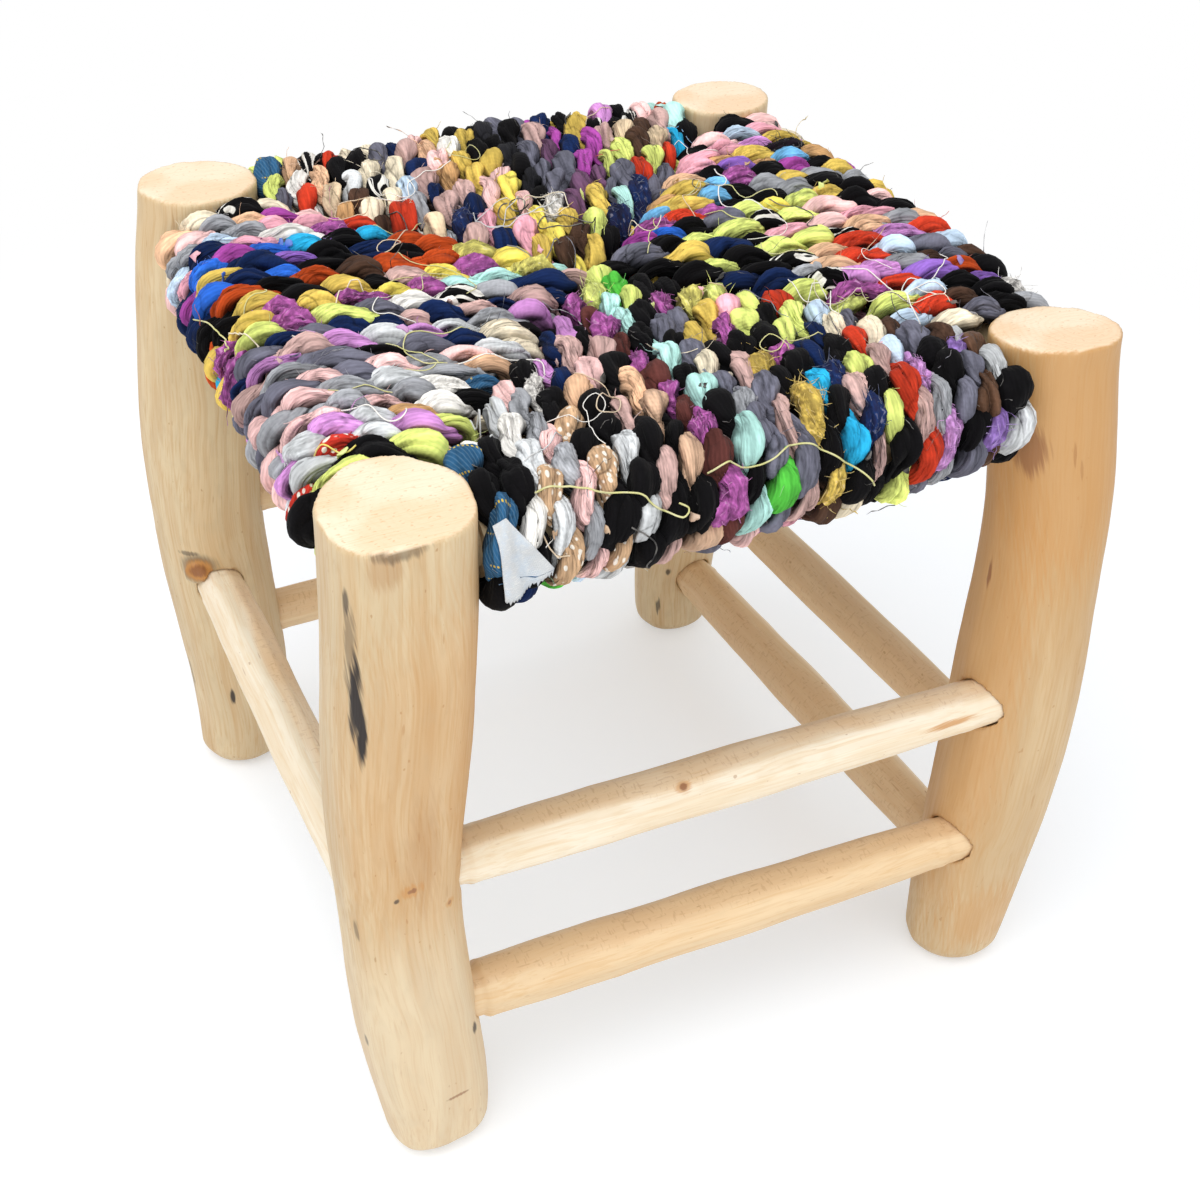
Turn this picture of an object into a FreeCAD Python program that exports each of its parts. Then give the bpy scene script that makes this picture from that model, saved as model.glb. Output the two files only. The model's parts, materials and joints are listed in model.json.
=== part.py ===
"""Hand-hewn four-legged stool with a seat of twisted rag rope.

Four peeled branch legs carry seven rungs and four seat rails in round mortises. The seat is one
long rag rope, woven over the rails in four triangles that meet on the diagonals: every pass goes
out over a rail, turns round it and comes back underneath, and the runs that join the passes lie
buried between the top and the bottom layer.

Millimetres, +Z up. The origin is on the floor, under the middle of the stool.
"""

import FreeCAD
import Part

import math
import os

from FreeCAD import Vector

# Frame sizes
stool_height = 380.0
leg_spacing_x = 310.0
leg_spacing_y = 300.0
leg_diameter = 62.0
leg_top_round = 1.2
foot_round = 13.0

# Seat rail sizes
seat_rail_drop = 27.5
seat_rail_diameter = 31.0
rail_tenon_diameter = 22.0

# Rung sizes
rung_diameter = 28.5
rung_end_diameter = 25.5
rung_collar = 3.0
rung_swell = 9.0

# Joinery sizes
mortise_clearance = 0.15
mortise_end_gap = 1.0
tenon_wall = 2.0
shoulder_gap = 0.8

# Rag rope sizes
cord_diameter = 11.5
cord_gap = 0.5
cord_rail_clearance = 0.3
cord_leg_clearance = 0.5
seam_gap = 0.5
buried_cord_height = 8.2
buried_gap = 0.4

# Branch stub on the back left leg
stub_diameter = 17.0
stub_tip_diameter = 13.0
stub_proud = 2.5
stub_height = 157.0
stub_turn_deg = 235.0

# Cuts run this far past the wood
cut_overrun = 10.0

FLOOR = 0.0
UP = Vector(0, 0, 1)
QUARTER_TURN_DEG = 90.0

# Each leg: the signs of its corner, the slope of its sawn top, and its stations from the top down.
# A station is the height as a share of stool_height, the axis's shift from the leg's corner along
# X and Y, and the girth, all three as shares of leg_diameter.
LEG_SIGNS = {
    "front_left": (-1, -1),
    "front_right": (1, -1),
    "back_left": (-1, 1),
    "back_right": (1, 1),
}
LEG_TOP_SLOPE_DEG = {"front_left": -2.0, "front_right": 8.0, "back_left": 1.5, "back_right": 2.5}
LEG_STATION_SHARES = {
    "front_left": [
        (1.00, -0.06, -0.06, 1.01),
        (0.80, -0.09, -0.05, 1.035),
        (0.58, -0.16, -0.02, 0.985),
        (0.46, -0.165, -0.01, 0.92),
        (0.33, -0.13, -0.02, 0.93),
        (0.19, -0.06, -0.05, 0.95),
        (0.09, 0.01, -0.07, 0.91),
        (0.00, 0.04, -0.08, 0.81),
    ],
    "front_right": [
        (1.00, 0.07, 0.097, 0.95),
        (0.80, 0.195, -0.052, 0.96),
        (0.68, 0.20, -0.125, 0.97),
        (0.54, 0.19, -0.17, 1.035),
        (0.39, 0.172, -0.21, 1.05),
        (0.24, 0.117, -0.222, 1.005),
        (0.12, 0.068, -0.233, 0.925),
        (0.00, 0.023, -0.235, 0.80),
    ],
    "back_left": [
        (1.00, 0.11, -0.01, 0.93),
        (0.91, 0.055, 0.007, 0.98),
        (0.79, -0.01, 0.025, 1.015),
        (0.67, -0.08, 0.05, 1.015),
        (0.51, -0.115, 0.07, 0.97),
        (0.41, -0.10, 0.07, 0.96),
        (0.29, -0.05, 0.065, 0.945),
        (0.16, 0.00, 0.06, 0.91),
        (0.07, -0.01, 0.07, 0.855),
        (0.00, -0.03, 0.075, 0.79),
    ],
    "back_right": [
        (1.00, -0.05, -0.03, 0.885),
        (0.80, -0.02, 0.02, 0.93),
        (0.56, 0.02, 0.08, 0.96),
        (0.34, 0.00, 0.14, 0.93),
        (0.14, -0.07, 0.17, 0.87),
        (0.00, -0.05, 0.19, 0.80),
    ],
}
# The branch is not quite round: radius shares at even angles from +X, turning towards +Y.
LEG_ROUND_SHARES = {
    "front_left": (0.96, 0.97, 1.02, 0.99, 1.02, 1.12, 0.94, 1.01),
    "front_right": (1.02, 0.97, 0.95, 0.98, 1.00, 0.95, 0.92, 1.01),
    "back_left": (1.02, 0.96, 0.94, 1.00, 1.02, 0.98, 0.95, 0.98),
    "back_right": (1.00, 1.01, 0.94, 0.96, 1.00, 1.02, 0.95, 0.97),
}

# Each side of the stool: its two legs, as seen from outside from left to right.
SIDES = {
    "front": ("front_left", "front_right"),
    "right": ("front_right", "back_right"),
    "back": ("back_right", "back_left"),
    "left": ("back_left", "front_left"),
}

# Each rung: its side, its two ends in the order of the side's legs, and its girth as a share of
# rung_diameter. An end is its height as a share of stool_height, and how far outside the leg's axis
# it goes in, as a share of leg_diameter.
RUNG_SHARES = {
    "rung_front_upper": ("front", (0.470, 0.03), (0.488, 0.13), 1.02),
    "rung_front_lower": ("front", (0.228, 0.03), (0.243, 0.13), 1.08),
    "rung_right_upper": ("right", (0.347, 0.03), (0.333, 0.03), 0.95),
    "rung_right_lower": ("right", (0.139, 0.03), (0.131, 0.03), 1.04),
    "rung_back_upper": ("back", (0.470, 0.03), (0.490, 0.03), 0.92),
    "rung_back_lower": ("back", (0.244, 0.03), (0.256, 0.03), 0.92),
    "rung_left": ("left", (0.389, 0.08), (0.290, 0.03), 1.03),
}
# Drawknife facets: corner radius shares round a rung, the share of each side that its rounded
# corners take, and the girth along the rung as (share of the swollen length, share of the girth).
RUNG_CORNER_SHARES = (1.06, 1.10, 1.05, 1.08, 1.11, 1.05, 1.09, 1.06)
RUNG_CORNER_CUT_SHARE = 0.34
RUNG_GIRTH_SHARES = ((0.00, 0.93), (0.28, 0.98), (0.55, 1.00), (0.80, 0.97), (1.00, 0.92))

seat_rail_height = stool_height - seat_rail_drop
cord_radius = cord_diameter / 2
wrap_radius = seat_rail_diameter / 2 + cord_rail_clearance + cord_radius


def between(low, high, share):
    """The value or point that lies at this share of the way from low to high."""
    return low + (high - low) * share


def leg_station(leg, height_share):
    """A leg's axis point and girth at a share of the stool's height."""
    stations = LEG_STATION_SHARES[leg]
    upper = max(i for i in range(len(stations) - 1) if stations[i][0] >= height_share)
    top, low = stations[upper], stations[upper + 1]
    share = (top[0] - height_share) / (top[0] - low[0])
    shift_x, shift_y, girth = (between(top[i], low[i], share) for i in (1, 2, 3))
    sign_x, sign_y = LEG_SIGNS[leg]
    axis = Vector(
        sign_x * leg_spacing_x / 2 + shift_x * leg_diameter,
        sign_y * leg_spacing_y / 2 + shift_y * leg_diameter,
        height_share * stool_height,
    )
    return axis, girth * leg_diameter


def leg_reach(leg, height_share, towards):
    """How far a leg's skin stands from its axis, in a level direction."""
    girth = leg_station(leg, height_share)[1]
    shares = LEG_ROUND_SHARES[leg]
    place = math.atan2(towards.y, towards.x) / (2 * math.pi) * len(shares)
    before = math.floor(place)
    low, high = shares[before % len(shares)], shares[(before + 1) % len(shares)]
    return girth / 2 * between(low, high, place - before)


def leg_face(leg, height_share, towards, half_height):
    """How far a leg reaches from its axis at one height, at its fullest within half_height of it."""
    axis = leg_station(leg, height_share)[0]
    faces = []
    for height in (axis.z - half_height, axis.z, axis.z + half_height):
        share = min(max(height / stool_height, 0), 1)
        lean = leg_station(leg, share)[0] - axis
        faces.append(lean.x * towards.x + lean.y * towards.y + leg_reach(leg, share, towards))
    return max(faces)


def leg_section(leg, height_share):
    """The branch's closed outline at one height, as one smooth curve."""
    axis, girth = leg_station(leg, height_share)
    shares = LEG_ROUND_SHARES[leg]
    points = []
    for i, share in enumerate(shares):
        angle = 2 * math.pi * i / len(shares)
        points.append(axis + Vector(math.cos(angle), math.sin(angle), 0) * (girth / 2 * share))
    curve = Part.BSplineCurve()
    curve.interpolate(points, PeriodicFlag=True)
    return Part.Wire(curve.toShape())


def end_edges(solid, height):
    """The edges of a solid whose every point lies within the sawing slope of a height."""
    slope = max(abs(math.radians(angle)) for angle in LEG_TOP_SLOPE_DEG.values())
    reach = leg_diameter * slope + mortise_clearance
    return [
        edge
        for edge in solid.Edges
        if abs(edge.BoundBox.ZMin - height) < reach and abs(edge.BoundBox.ZMax - height) < reach
    ]


def sawn_leg(leg):
    """A bent branch, sawn across at its top and rounded over at its foot."""
    stations = LEG_STATION_SHARES[leg]
    sections = [leg_section(leg, station[0]) for station in stations]
    over = sections[0].copy()
    over.translate(UP * cut_overrun)
    branch = Part.makeLoft([over] + sections, True, False)
    top_axis, girth = leg_station(leg, stations[0][0])
    waste = Part.makeBox(girth * 2, girth * 2, girth, top_axis - Vector(girth, girth, 0))
    waste.rotate(top_axis, Vector(1, 0, 0), -LEG_TOP_SLOPE_DEG[leg])
    branch = branch.cut(waste)
    branch = branch.makeFillet(foot_round, end_edges(branch, FLOOR))
    return branch.makeFillet(leg_top_round, end_edges(branch, stool_height))


def branch_stub(leg):
    """The stump of a side branch, trimmed just proud of a leg."""
    height_share = stub_height / stool_height
    axis, girth = leg_station(leg, height_share)
    turn = math.radians(stub_turn_deg)
    outward = Vector(math.cos(turn), math.sin(turn), 0)
    length = girth / 2 + stub_proud
    return Part.makeCone(stub_diameter / 2, stub_tip_diameter / 2, length, axis, outward)


def bar_ends(side, end_a, end_b, diameter, tenon_diameter):
    """Where a bar along one side starts and stops: its direction, the points on both legs' skins
    and the tips of its tenons, which stop short of the tenons that come in from the next side."""
    leg_a, leg_b = SIDES[side]
    axis_a, axis_b = leg_station(leg_a, end_a[0])[0], leg_station(leg_b, end_b[0])[0]
    outward = (axis_b - axis_a).cross(UP).normalize() * leg_diameter
    axis_a += outward * end_a[1]
    axis_b += outward * end_b[1]
    along = (axis_b - axis_a).normalize()
    tip = tenon_diameter / 2 + mortise_clearance + tenon_wall
    return {
        "along": along,
        "skin_a": axis_a + along * leg_face(leg_a, end_a[0], along, diameter / 2),
        "skin_b": axis_b - along * leg_face(leg_b, end_b[0], -along, diameter / 2),
        "tip_a": axis_a + along * tip,
        "tip_b": axis_b - along * tip,
    }


def round_bar(start, end, diameter):
    """A plain round bar from one point to another."""
    return Part.makeCylinder(diameter / 2, (end - start).Length, start, end - start)


def mortises(ends, diameter):
    """The two blind holes that a bar's tenons go into."""
    reach = ends["along"] * mortise_end_gap
    bore = diameter + 2 * mortise_clearance
    return [
        round_bar(ends["tip_a"] - reach, ends["skin_a"] + ends["along"] * cut_overrun, bore),
        round_bar(ends["tip_b"] + reach, ends["skin_b"] - ends["along"] * cut_overrun, bore),
    ]


def faceted_outline(centre, along, radius):
    """A rung's outline across its length: flat drawknife facets with rounded corners."""
    side = along.cross(UP).normalize()
    rise = side.cross(along)
    count = len(RUNG_CORNER_SHARES)
    corners = []
    for i, share in enumerate(RUNG_CORNER_SHARES):
        angle = 2 * math.pi * (i + 0.5) / count
        corners.append(centre + (side * math.cos(angle) + rise * math.sin(angle)) * (radius * share))
    edges = []
    for i, corner in enumerate(corners):
        before, after = corners[i - 1], corners[(i + 1) % count]
        rounding = Part.BezierCurve()
        start = between(corner, before, RUNG_CORNER_CUT_SHARE)
        end = between(corner, after, RUNG_CORNER_CUT_SHARE)
        rounding.setPoles([start, corner, end])
        facet_end = between(after, corner, RUNG_CORNER_CUT_SHARE)
        edges += [rounding.toShape(), Part.makeLine(end, facet_end)]
    return Part.Wire(edges)


def hewn_rung(ends, girth):
    """A rung: a swollen, faceted middle whose ends are rounded down into plain round tenons."""
    along = ends["along"]
    collar_a = ends["skin_a"] + along * rung_collar
    collar_b = ends["skin_b"] - along * rung_collar
    swell_a, swell_b = collar_a + along * rung_swell, collar_b - along * rung_swell
    sections = [faceted_outline(collar_a, along, rung_end_diameter / 2 * RUNG_GIRTH_SHARES[0][1])]
    for length_share, girth_share in RUNG_GIRTH_SHARES:
        centre = between(swell_a, swell_b, length_share)
        sections.append(faceted_outline(centre, along, girth / 2 * girth_share))
    sections.append(faceted_outline(collar_b, along, rung_end_diameter / 2 * RUNG_GIRTH_SHARES[-1][1]))
    middle = Part.makeLoft(sections, True, False)
    core = round_bar(ends["tip_a"], ends["tip_b"], rung_end_diameter)
    return core.fuse(middle)


def seat_rail(ends):
    """A round rail with a stepped tenon at each end."""
    step = ends["along"] * shoulder_gap
    body = round_bar(ends["skin_a"] + step, ends["skin_b"] - step, seat_rail_diameter)
    return body.fuse(round_bar(ends["tip_a"], ends["tip_b"], rail_tenon_diameter))


def seat_corner(leg):
    """The crossing of the two seat rails in a leg."""
    return leg_station(leg, seat_rail_height / stool_height)[0]


def seat_centre():
    """The middle of the seat, where the four triangles of cords meet, at rail height."""
    corners = [seat_corner(leg) for leg in LEG_SIGNS]
    return (corners[0] + corners[1] + corners[2] + corners[3]) * (1 / len(corners))


def cord_shares(leg_a, leg_b):
    """Where the cords sit along a rail, as shares of its length from leg to leg."""
    corner_a, corner_b = seat_corner(leg_a), seat_corner(leg_b)
    length = (corner_b - corner_a).Length
    along = (corner_b - corner_a).normalize()
    rail_share = seat_rail_height / stool_height
    half_height = wrap_radius + cord_radius
    first = leg_face(leg_a, rail_share, along, half_height) + cord_leg_clearance + cord_radius
    last = length - leg_face(leg_b, rail_share, -along, half_height) - cord_leg_clearance - cord_radius
    steps = int((last - first) / (cord_diameter + cord_gap))
    return [between(first, last, i / steps) / length for i in range(steps + 1)]


def inward_run(on_rail, inward, left, right):
    """How far a cord runs in from its rail before it dives at the diagonal towards either leg."""
    centre = seat_centre()
    reaches = []
    for corner in (left, right):
        diagonal = (centre - corner).normalize()
        across = UP.cross(diagonal)
        reaches.append((corner - on_rail).dot(across) / inward.dot(across))
    slant = (left - right).normalize().dot((left - centre).normalize())
    set_back = (cord_radius + seam_gap / 2) / abs(slant)
    return min(reach for reach in reaches if reach > 0) - set_back


def bent_cord(face, pivot, axis, turn_deg):
    """A bend of the rope: its round face turned about a pivot, and the face that it ends on."""
    end = face.copy()
    end.rotate(pivot, axis, turn_deg)
    return face.revolve(pivot, axis, turn_deg), end


def straight_cord(face, run):
    """A straight stretch of the rope, and the face that it ends on."""
    end = face.copy()
    end.translate(run)
    return face.extrude(run), end


def cord_pass(on_rail, inward, run):
    """One pass of the rope: up out of the seat, out over the rail, round it and back underneath."""
    level = UP * wrap_radius
    dive = UP * cord_diameter
    across = UP.cross(inward)
    shoulder = on_rail + inward * (run - cord_diameter)
    mouth = on_rail + inward * run + level - dive
    face = Part.Face(Part.Wire(Part.makeCircle(cord_radius, mouth, UP)))
    rise, face = bent_cord(face, shoulder + level - dive, across, -QUARTER_TURN_DEG)
    over, face = straight_cord(face, on_rail - shoulder)
    wrap, face = bent_cord(face, on_rail, across, -2 * QUARTER_TURN_DEG)
    under, face = straight_cord(face, shoulder - on_rail)
    tuck, face = bent_cord(face, shoulder - level + dive, across, -QUARTER_TURN_DEG)
    return rise.fuse([over, wrap, under, tuck]).Solids[0]


def seat_cords(side):
    """All the passes of the rope over one rail."""
    leg_a, leg_b = SIDES[side]
    corner_a, corner_b = seat_corner(leg_a), seat_corner(leg_b)
    opposite_a, opposite_b = opposite_corners(side)
    passes = []
    for share in cord_shares(leg_a, leg_b):
        on_rail = between(corner_a, corner_b, share)
        inward = (between(opposite_a, opposite_b, share) - on_rail).normalize()
        run = inward_run(on_rail, inward, corner_a, corner_b)
        passes.append(cord_pass(on_rail, inward, run))
    return Part.makeCompound(passes)


def opposite_corners(side):
    """The corners across the seat from a side's own two, in the same order."""
    leg_a, leg_b = SIDES[side]
    across = 1 if side in ("front", "back") else 0
    found = []
    for leg in (leg_a, leg_b):
        signs = list(LEG_SIGNS[leg])
        signs[across] = -signs[across]
        found.append(next(other for other, own in LEG_SIGNS.items() if own == tuple(signs)))
    return [seat_corner(leg) for leg in found]


def buried_runs(side, level):
    """The flattened runs of rope that cross the seat inside it, from one rail to the opposite one."""
    leg_a, leg_b = SIDES[side]
    corner_a, corner_b = seat_corner(leg_a), seat_corner(leg_b)
    opposite_a, opposite_b = opposite_corners(side)
    rail_skin = seat_rail_diameter / 2 + cord_rail_clearance
    runs = []
    for share in cord_shares(leg_a, leg_b):
        near, far = between(corner_a, corner_b, share), between(opposite_a, opposite_b, share)
        along = (far - near).normalize()
        start = near + along * rail_skin + UP * level
        length = (far - near).Length - 2 * rail_skin
        flat = Part.Ellipse(Vector(), cord_radius, buried_cord_height / 2).toShape()
        outline = Part.Face(Part.Wire(flat))
        turn = FreeCAD.Rotation(along.cross(UP), UP, along, "ZXY")
        outline.Placement = FreeCAD.Placement(start, turn)
        runs.append(outline.extrude(along * length))
    return Part.makeCompound(runs)


def build_frame():
    """Legs, seat rails and rungs, with every mortise cut."""
    parts = {f"leg_{leg}": sawn_leg(leg) for leg in LEG_SIGNS}
    parts["leg_back_left"] = parts["leg_back_left"].fuse(branch_stub("back_left"))
    holes = {leg: [] for leg in LEG_SIGNS}
    rail_end = (seat_rail_height / stool_height, 0)
    for side in SIDES:
        ends = bar_ends(side, rail_end, rail_end, seat_rail_diameter, rail_tenon_diameter)
        parts[f"seat_rail_{side}"] = seat_rail(ends)
        for leg, hole in zip(SIDES[side], mortises(ends, rail_tenon_diameter)):
            holes[leg].append(hole)
    for name, (side, end_a, end_b, girth_share) in RUNG_SHARES.items():
        girth = rung_diameter * girth_share
        ends = bar_ends(side, end_a, end_b, girth, rung_end_diameter)
        parts[name] = hewn_rung(ends, girth)
        for leg, hole in zip(SIDES[side], mortises(ends, rung_end_diameter)):
            holes[leg].append(hole)
    for leg in LEG_SIGNS:
        parts[f"leg_{leg}"] = parts[f"leg_{leg}"].cut(holes[leg])
    return parts


def build_seat():
    """The passes of the rope on each rail, and the runs buried between them."""
    parts = {f"seat_cords_{side}": seat_cords(side) for side in SIDES}
    half_layer = (buried_cord_height + buried_gap) / 2
    parts["buried_runs_front_to_back"] = buried_runs("front", half_layer)
    parts["buried_runs_side_to_side"] = buried_runs("left", -half_layer)
    return parts


def main():
    parts = {**build_frame(), **build_seat()}
    box = Part.makeCompound(list(parts.values())).optimalBoundingBox()
    to_origin = Vector(-box.Center.x, -box.Center.y, -box.ZMin)
    os.makedirs("parts", exist_ok=True)
    for name, shape in parts.items():
        shape.translate(to_origin)
        solids = shape.Solids
        Part.makeCompound(solids).exportStep(f"parts/{name}.step")
        print(f"{name}: {len(solids)} solids, {shape.Volume / 1000:.1f} cm3, valid {shape.isValid()}")
    print(f"size {box.XLength:.1f} x {box.YLength:.1f} x {box.ZLength:.1f} mm, shift {to_origin}")


main()
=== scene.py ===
"""Looks for a stool of peeled branches with a seat woven from two-ply rag rope."""

import json
import math
import random
from bisect import bisect
from itertools import accumulate

import bmesh
import bpy
import numpy as np
from bpy.props import FloatProperty, FloatVectorProperty, IntProperty, PointerProperty
from bpy.types import Operator, Panel, PropertyGroup
from mathutils import Matrix, Vector, noise
from mathutils.bvhtree import BVHTree

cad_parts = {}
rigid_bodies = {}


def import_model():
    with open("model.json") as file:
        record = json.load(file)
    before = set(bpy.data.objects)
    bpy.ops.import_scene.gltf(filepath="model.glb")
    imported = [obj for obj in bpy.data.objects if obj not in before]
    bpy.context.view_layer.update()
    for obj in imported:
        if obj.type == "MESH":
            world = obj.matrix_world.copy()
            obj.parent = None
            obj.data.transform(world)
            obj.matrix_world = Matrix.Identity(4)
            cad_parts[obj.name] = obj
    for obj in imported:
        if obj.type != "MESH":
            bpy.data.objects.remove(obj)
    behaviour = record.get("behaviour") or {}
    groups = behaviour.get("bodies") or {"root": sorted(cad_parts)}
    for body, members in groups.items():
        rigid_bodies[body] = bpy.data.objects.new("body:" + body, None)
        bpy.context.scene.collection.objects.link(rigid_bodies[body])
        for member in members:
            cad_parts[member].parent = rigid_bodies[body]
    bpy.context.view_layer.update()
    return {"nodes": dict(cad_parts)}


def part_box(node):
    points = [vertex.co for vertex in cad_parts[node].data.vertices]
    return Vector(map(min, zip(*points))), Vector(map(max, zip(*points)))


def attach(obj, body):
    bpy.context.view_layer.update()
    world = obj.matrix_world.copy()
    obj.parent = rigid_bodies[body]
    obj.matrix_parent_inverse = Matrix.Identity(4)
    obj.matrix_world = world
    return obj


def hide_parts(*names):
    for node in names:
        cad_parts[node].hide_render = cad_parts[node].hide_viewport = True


bl_info = {
    "name": "Rag rope stool",
    "version": (1, 0, 0),
    "blender": (4, 5, 0),
    "location": "3D View > Sidebar > Stool",
    "description": "Builds the looks of a stool with peeled legs and a woven rag-rope seat",
    "category": "Object",
}

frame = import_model()

BODY = "root"
UP = Vector((0.0, 0.0, 1.0))
WHITE = (1.0, 1.0, 1.0, 1.0)
CORNERS = ("front_left", "front_right", "back_left", "back_right")
SIDES = ("front", "right", "back", "left")
HALVES = (1, 2)
RUNGS = ("front_upper", "front_lower", "right_upper", "right_lower", "back_upper", "back_lower", "left")

# Fineness: the gap that counts as none, and steps along lines, as a length or as a count
MERGE_GAP = 1e-6
WIRE_STEP = 0.0012
WRAP_STEPS = 48
DIVE_STEPS = 14
BURIED_STEPS = 40
GRAIN_STEPS = 20
GIRTH_STEPS = 140
YARN_STEP = 0.0017
YARN_STEPS = 14
SCRAP_ROWS = 26
SCRAP_COLUMNS = 30

# Sawn ends of the legs: how level, blended over what, how far down, and how much calmer than the skin
SAWN_LEVEL = 0.72
SAWN_BLEND = 0.2
SAWN_DEPTH = 0.012
SAWN_CALM = 0.7

# Rough faces of the rungs, whose darker paint is partly painted shade from the seat above: where they end
# round the timber, blended over what, and how ragged
TOOLED_SHADED_EDGE = 0.42
TOOLED_SHADED_BLEND = 0.22
TOOLED_SHADED_RAGGED = 0.25

# Knife flats: how crisp their edges are, how they wander round and along the timber, and how deep they cut
FLAT_CRISP = 90.0
FLAT_WANDER = 0.22
FLAT_SWAY = 0.05
FLAT_WAVES = (6.0, 16.0)
FLAT_DEPTHS = (0.45, 1.0)
FLAT_REACH = 0.4

# Dents, coarse then fine: how close they lie across the grain and along it, and their share
DENTS = ((55, 14, 1.0), (130, 45, 0.5))

# Rungs at the legs: how near a mortise's edge lies, where the rung starts to rise, and its taper
MORTISE_REACH = 0.016
TENON_SHOW = 0.0005
TENON_RISE = 0.004
TAPER_LENGTH = 0.070
TAPER_END = 0.93

# Passes of the rope: where on the wrap their rags change, how they lie on the seat, and how they differ
FACE_SHARE = 0.4
UNDER_SHARE = 0.7
CROWN_LEVEL = 0.62
WRAP_JITTER = 0.0006
SHORTEST_RUN = 0.002
SAG_REACH = 0.15
RAG_LENGTHS = (0.8, 1.2)
TWISTS = (0.82, 1.14)
GIRTHS = (0.94, 1.06)

# Plies: how far their twist wanders, how far they stray, and how they bulge away from the rail
LOOSE_TWIST = 3.6
STRAY_SIDE = 0.008
STRAY_OUT = 0.006
INNER_SWING = 0.55
OUTER_PLUMP = 0.20
SHAG = 0.0085

# Yarns and the torn end: where the weave is looked for, how taut they are, and how far they lie above it
RAY_REACH = 0.05
WEAVE_REACH = 0.029
SEAT_EDGE = 0.150
YARN_SLACK = 8
YARN_LIFT = 0.0004
SCRAP_SLACK = 40
SCRAP_LIFT = 0.0008

# Strewn yarns: steps, the least that are kept, how they curl, how far out they lie, and how high they start
STREWN_STEPS = (16, 46)
STREWN_LEAST = 10
STREWN_CURL = 0.22
STREWN_STIFF = 0.8
STREWN_EDGE = 0.158
STREWN_CORNER = 0.105
STREWN_HEIGHT = 0.030

# Stage: the floor just below the feet, the light that it throws back, and the camera's sensor
FLOOR_LEVEL = -0.0004
FLOOR_BOUNCE = (0.93, 0.93, 0.93, 1.0)
SENSOR_WIDTH = 36.0

# Kinds of cloth that the rags are torn from, and how far from its number one still counts
JERSEY, FUZZY, DOTTED, SATIN, FRAYED, PRINTED, DENIM = range(7)
KIND_GAP = 0.4

# Each rag by its colour, as a web colour, and its cloth
RAGS = {
    "black": ("0c0b0d", JERSEY),
    "charcoal": ("232327", JERSEY),
    "slate": ("6a6a78", JERSEY),
    "grey": ("9b9da2", JERSEY),
    "pale_grey": ("cdd0d2", JERSEY),
    "white": ("f3f0ea", JERSEY),
    "cream": ("ecdfc4", JERSEY),
    "beige": ("d9c2a2", JERSEY),
    "tan": ("cda06e", JERSEY),
    "brown": ("4c372c", JERSEY),
    "maroon": ("58312d", JERSEY),
    "rust": ("b8481e", JERSEY),
    "orange": ("e0914e", JERSEY),
    "red": ("c83d26", JERSEY),
    "dusty_pink": ("c6a49e", JERSEY),
    "pink": ("eba9b8", JERSEY),
    "light_pink": ("f2c6c3", JERSEY),
    "peach": ("ecbf9a", JERSEY),
    "lilac": ("c98ccb", JERSEY),
    "violet": ("8c64bb", JERSEY),
    "purple": ("a94ba3", JERSEY),
    "plum": ("6a4a66", JERSEY),
    "navy": ("13244b", JERSEY),
    "royal": ("2c66cc", JERSEY),
    "sky": ("74b7e6", JERSEY),
    "pale_blue": ("c2d7ec", JERSEY),
    "turquoise": ("2db0e2", JERSEY),
    "mint": ("b6e6de", JERSEY),
    "green": ("55bd45", JERSEY),
    "lime": ("dce880", JERSEY),
    "yellow": ("edd964", JERSEY),
    "straw": ("d0cd88", JERSEY),
    "mustard": ("d9bb5c", JERSEY),
    "purple_fuzz": ("b862ab", FUZZY),
    "lilac_net": ("cf97d6", FUZZY),
    "violet_net": ("9a78c4", FRAYED),
    "yellow_fuzz": ("e9e07a", FUZZY),
    "mustard_fray": ("d9bb5c", FRAYED),
    "navy_fray": ("1a2f5c", FRAYED),
    "lime_fray": ("dfe882", FRAYED),
    "white_fray": ("efece6", FRAYED),
    "black_fray": ("0d0c0e", FRAYED),
    "tan_dots": ("c8a582", DOTTED),
    "red_dots": ("d03b2e", DOTTED),
    "brown_satin": ("5a4030", SATIN),
    "beige_satin": ("c8a58a", SATIN),
    "black_print": ("0c0b0d", PRINTED),
    "denim": ("2e5b80", DENIM),
}

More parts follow.
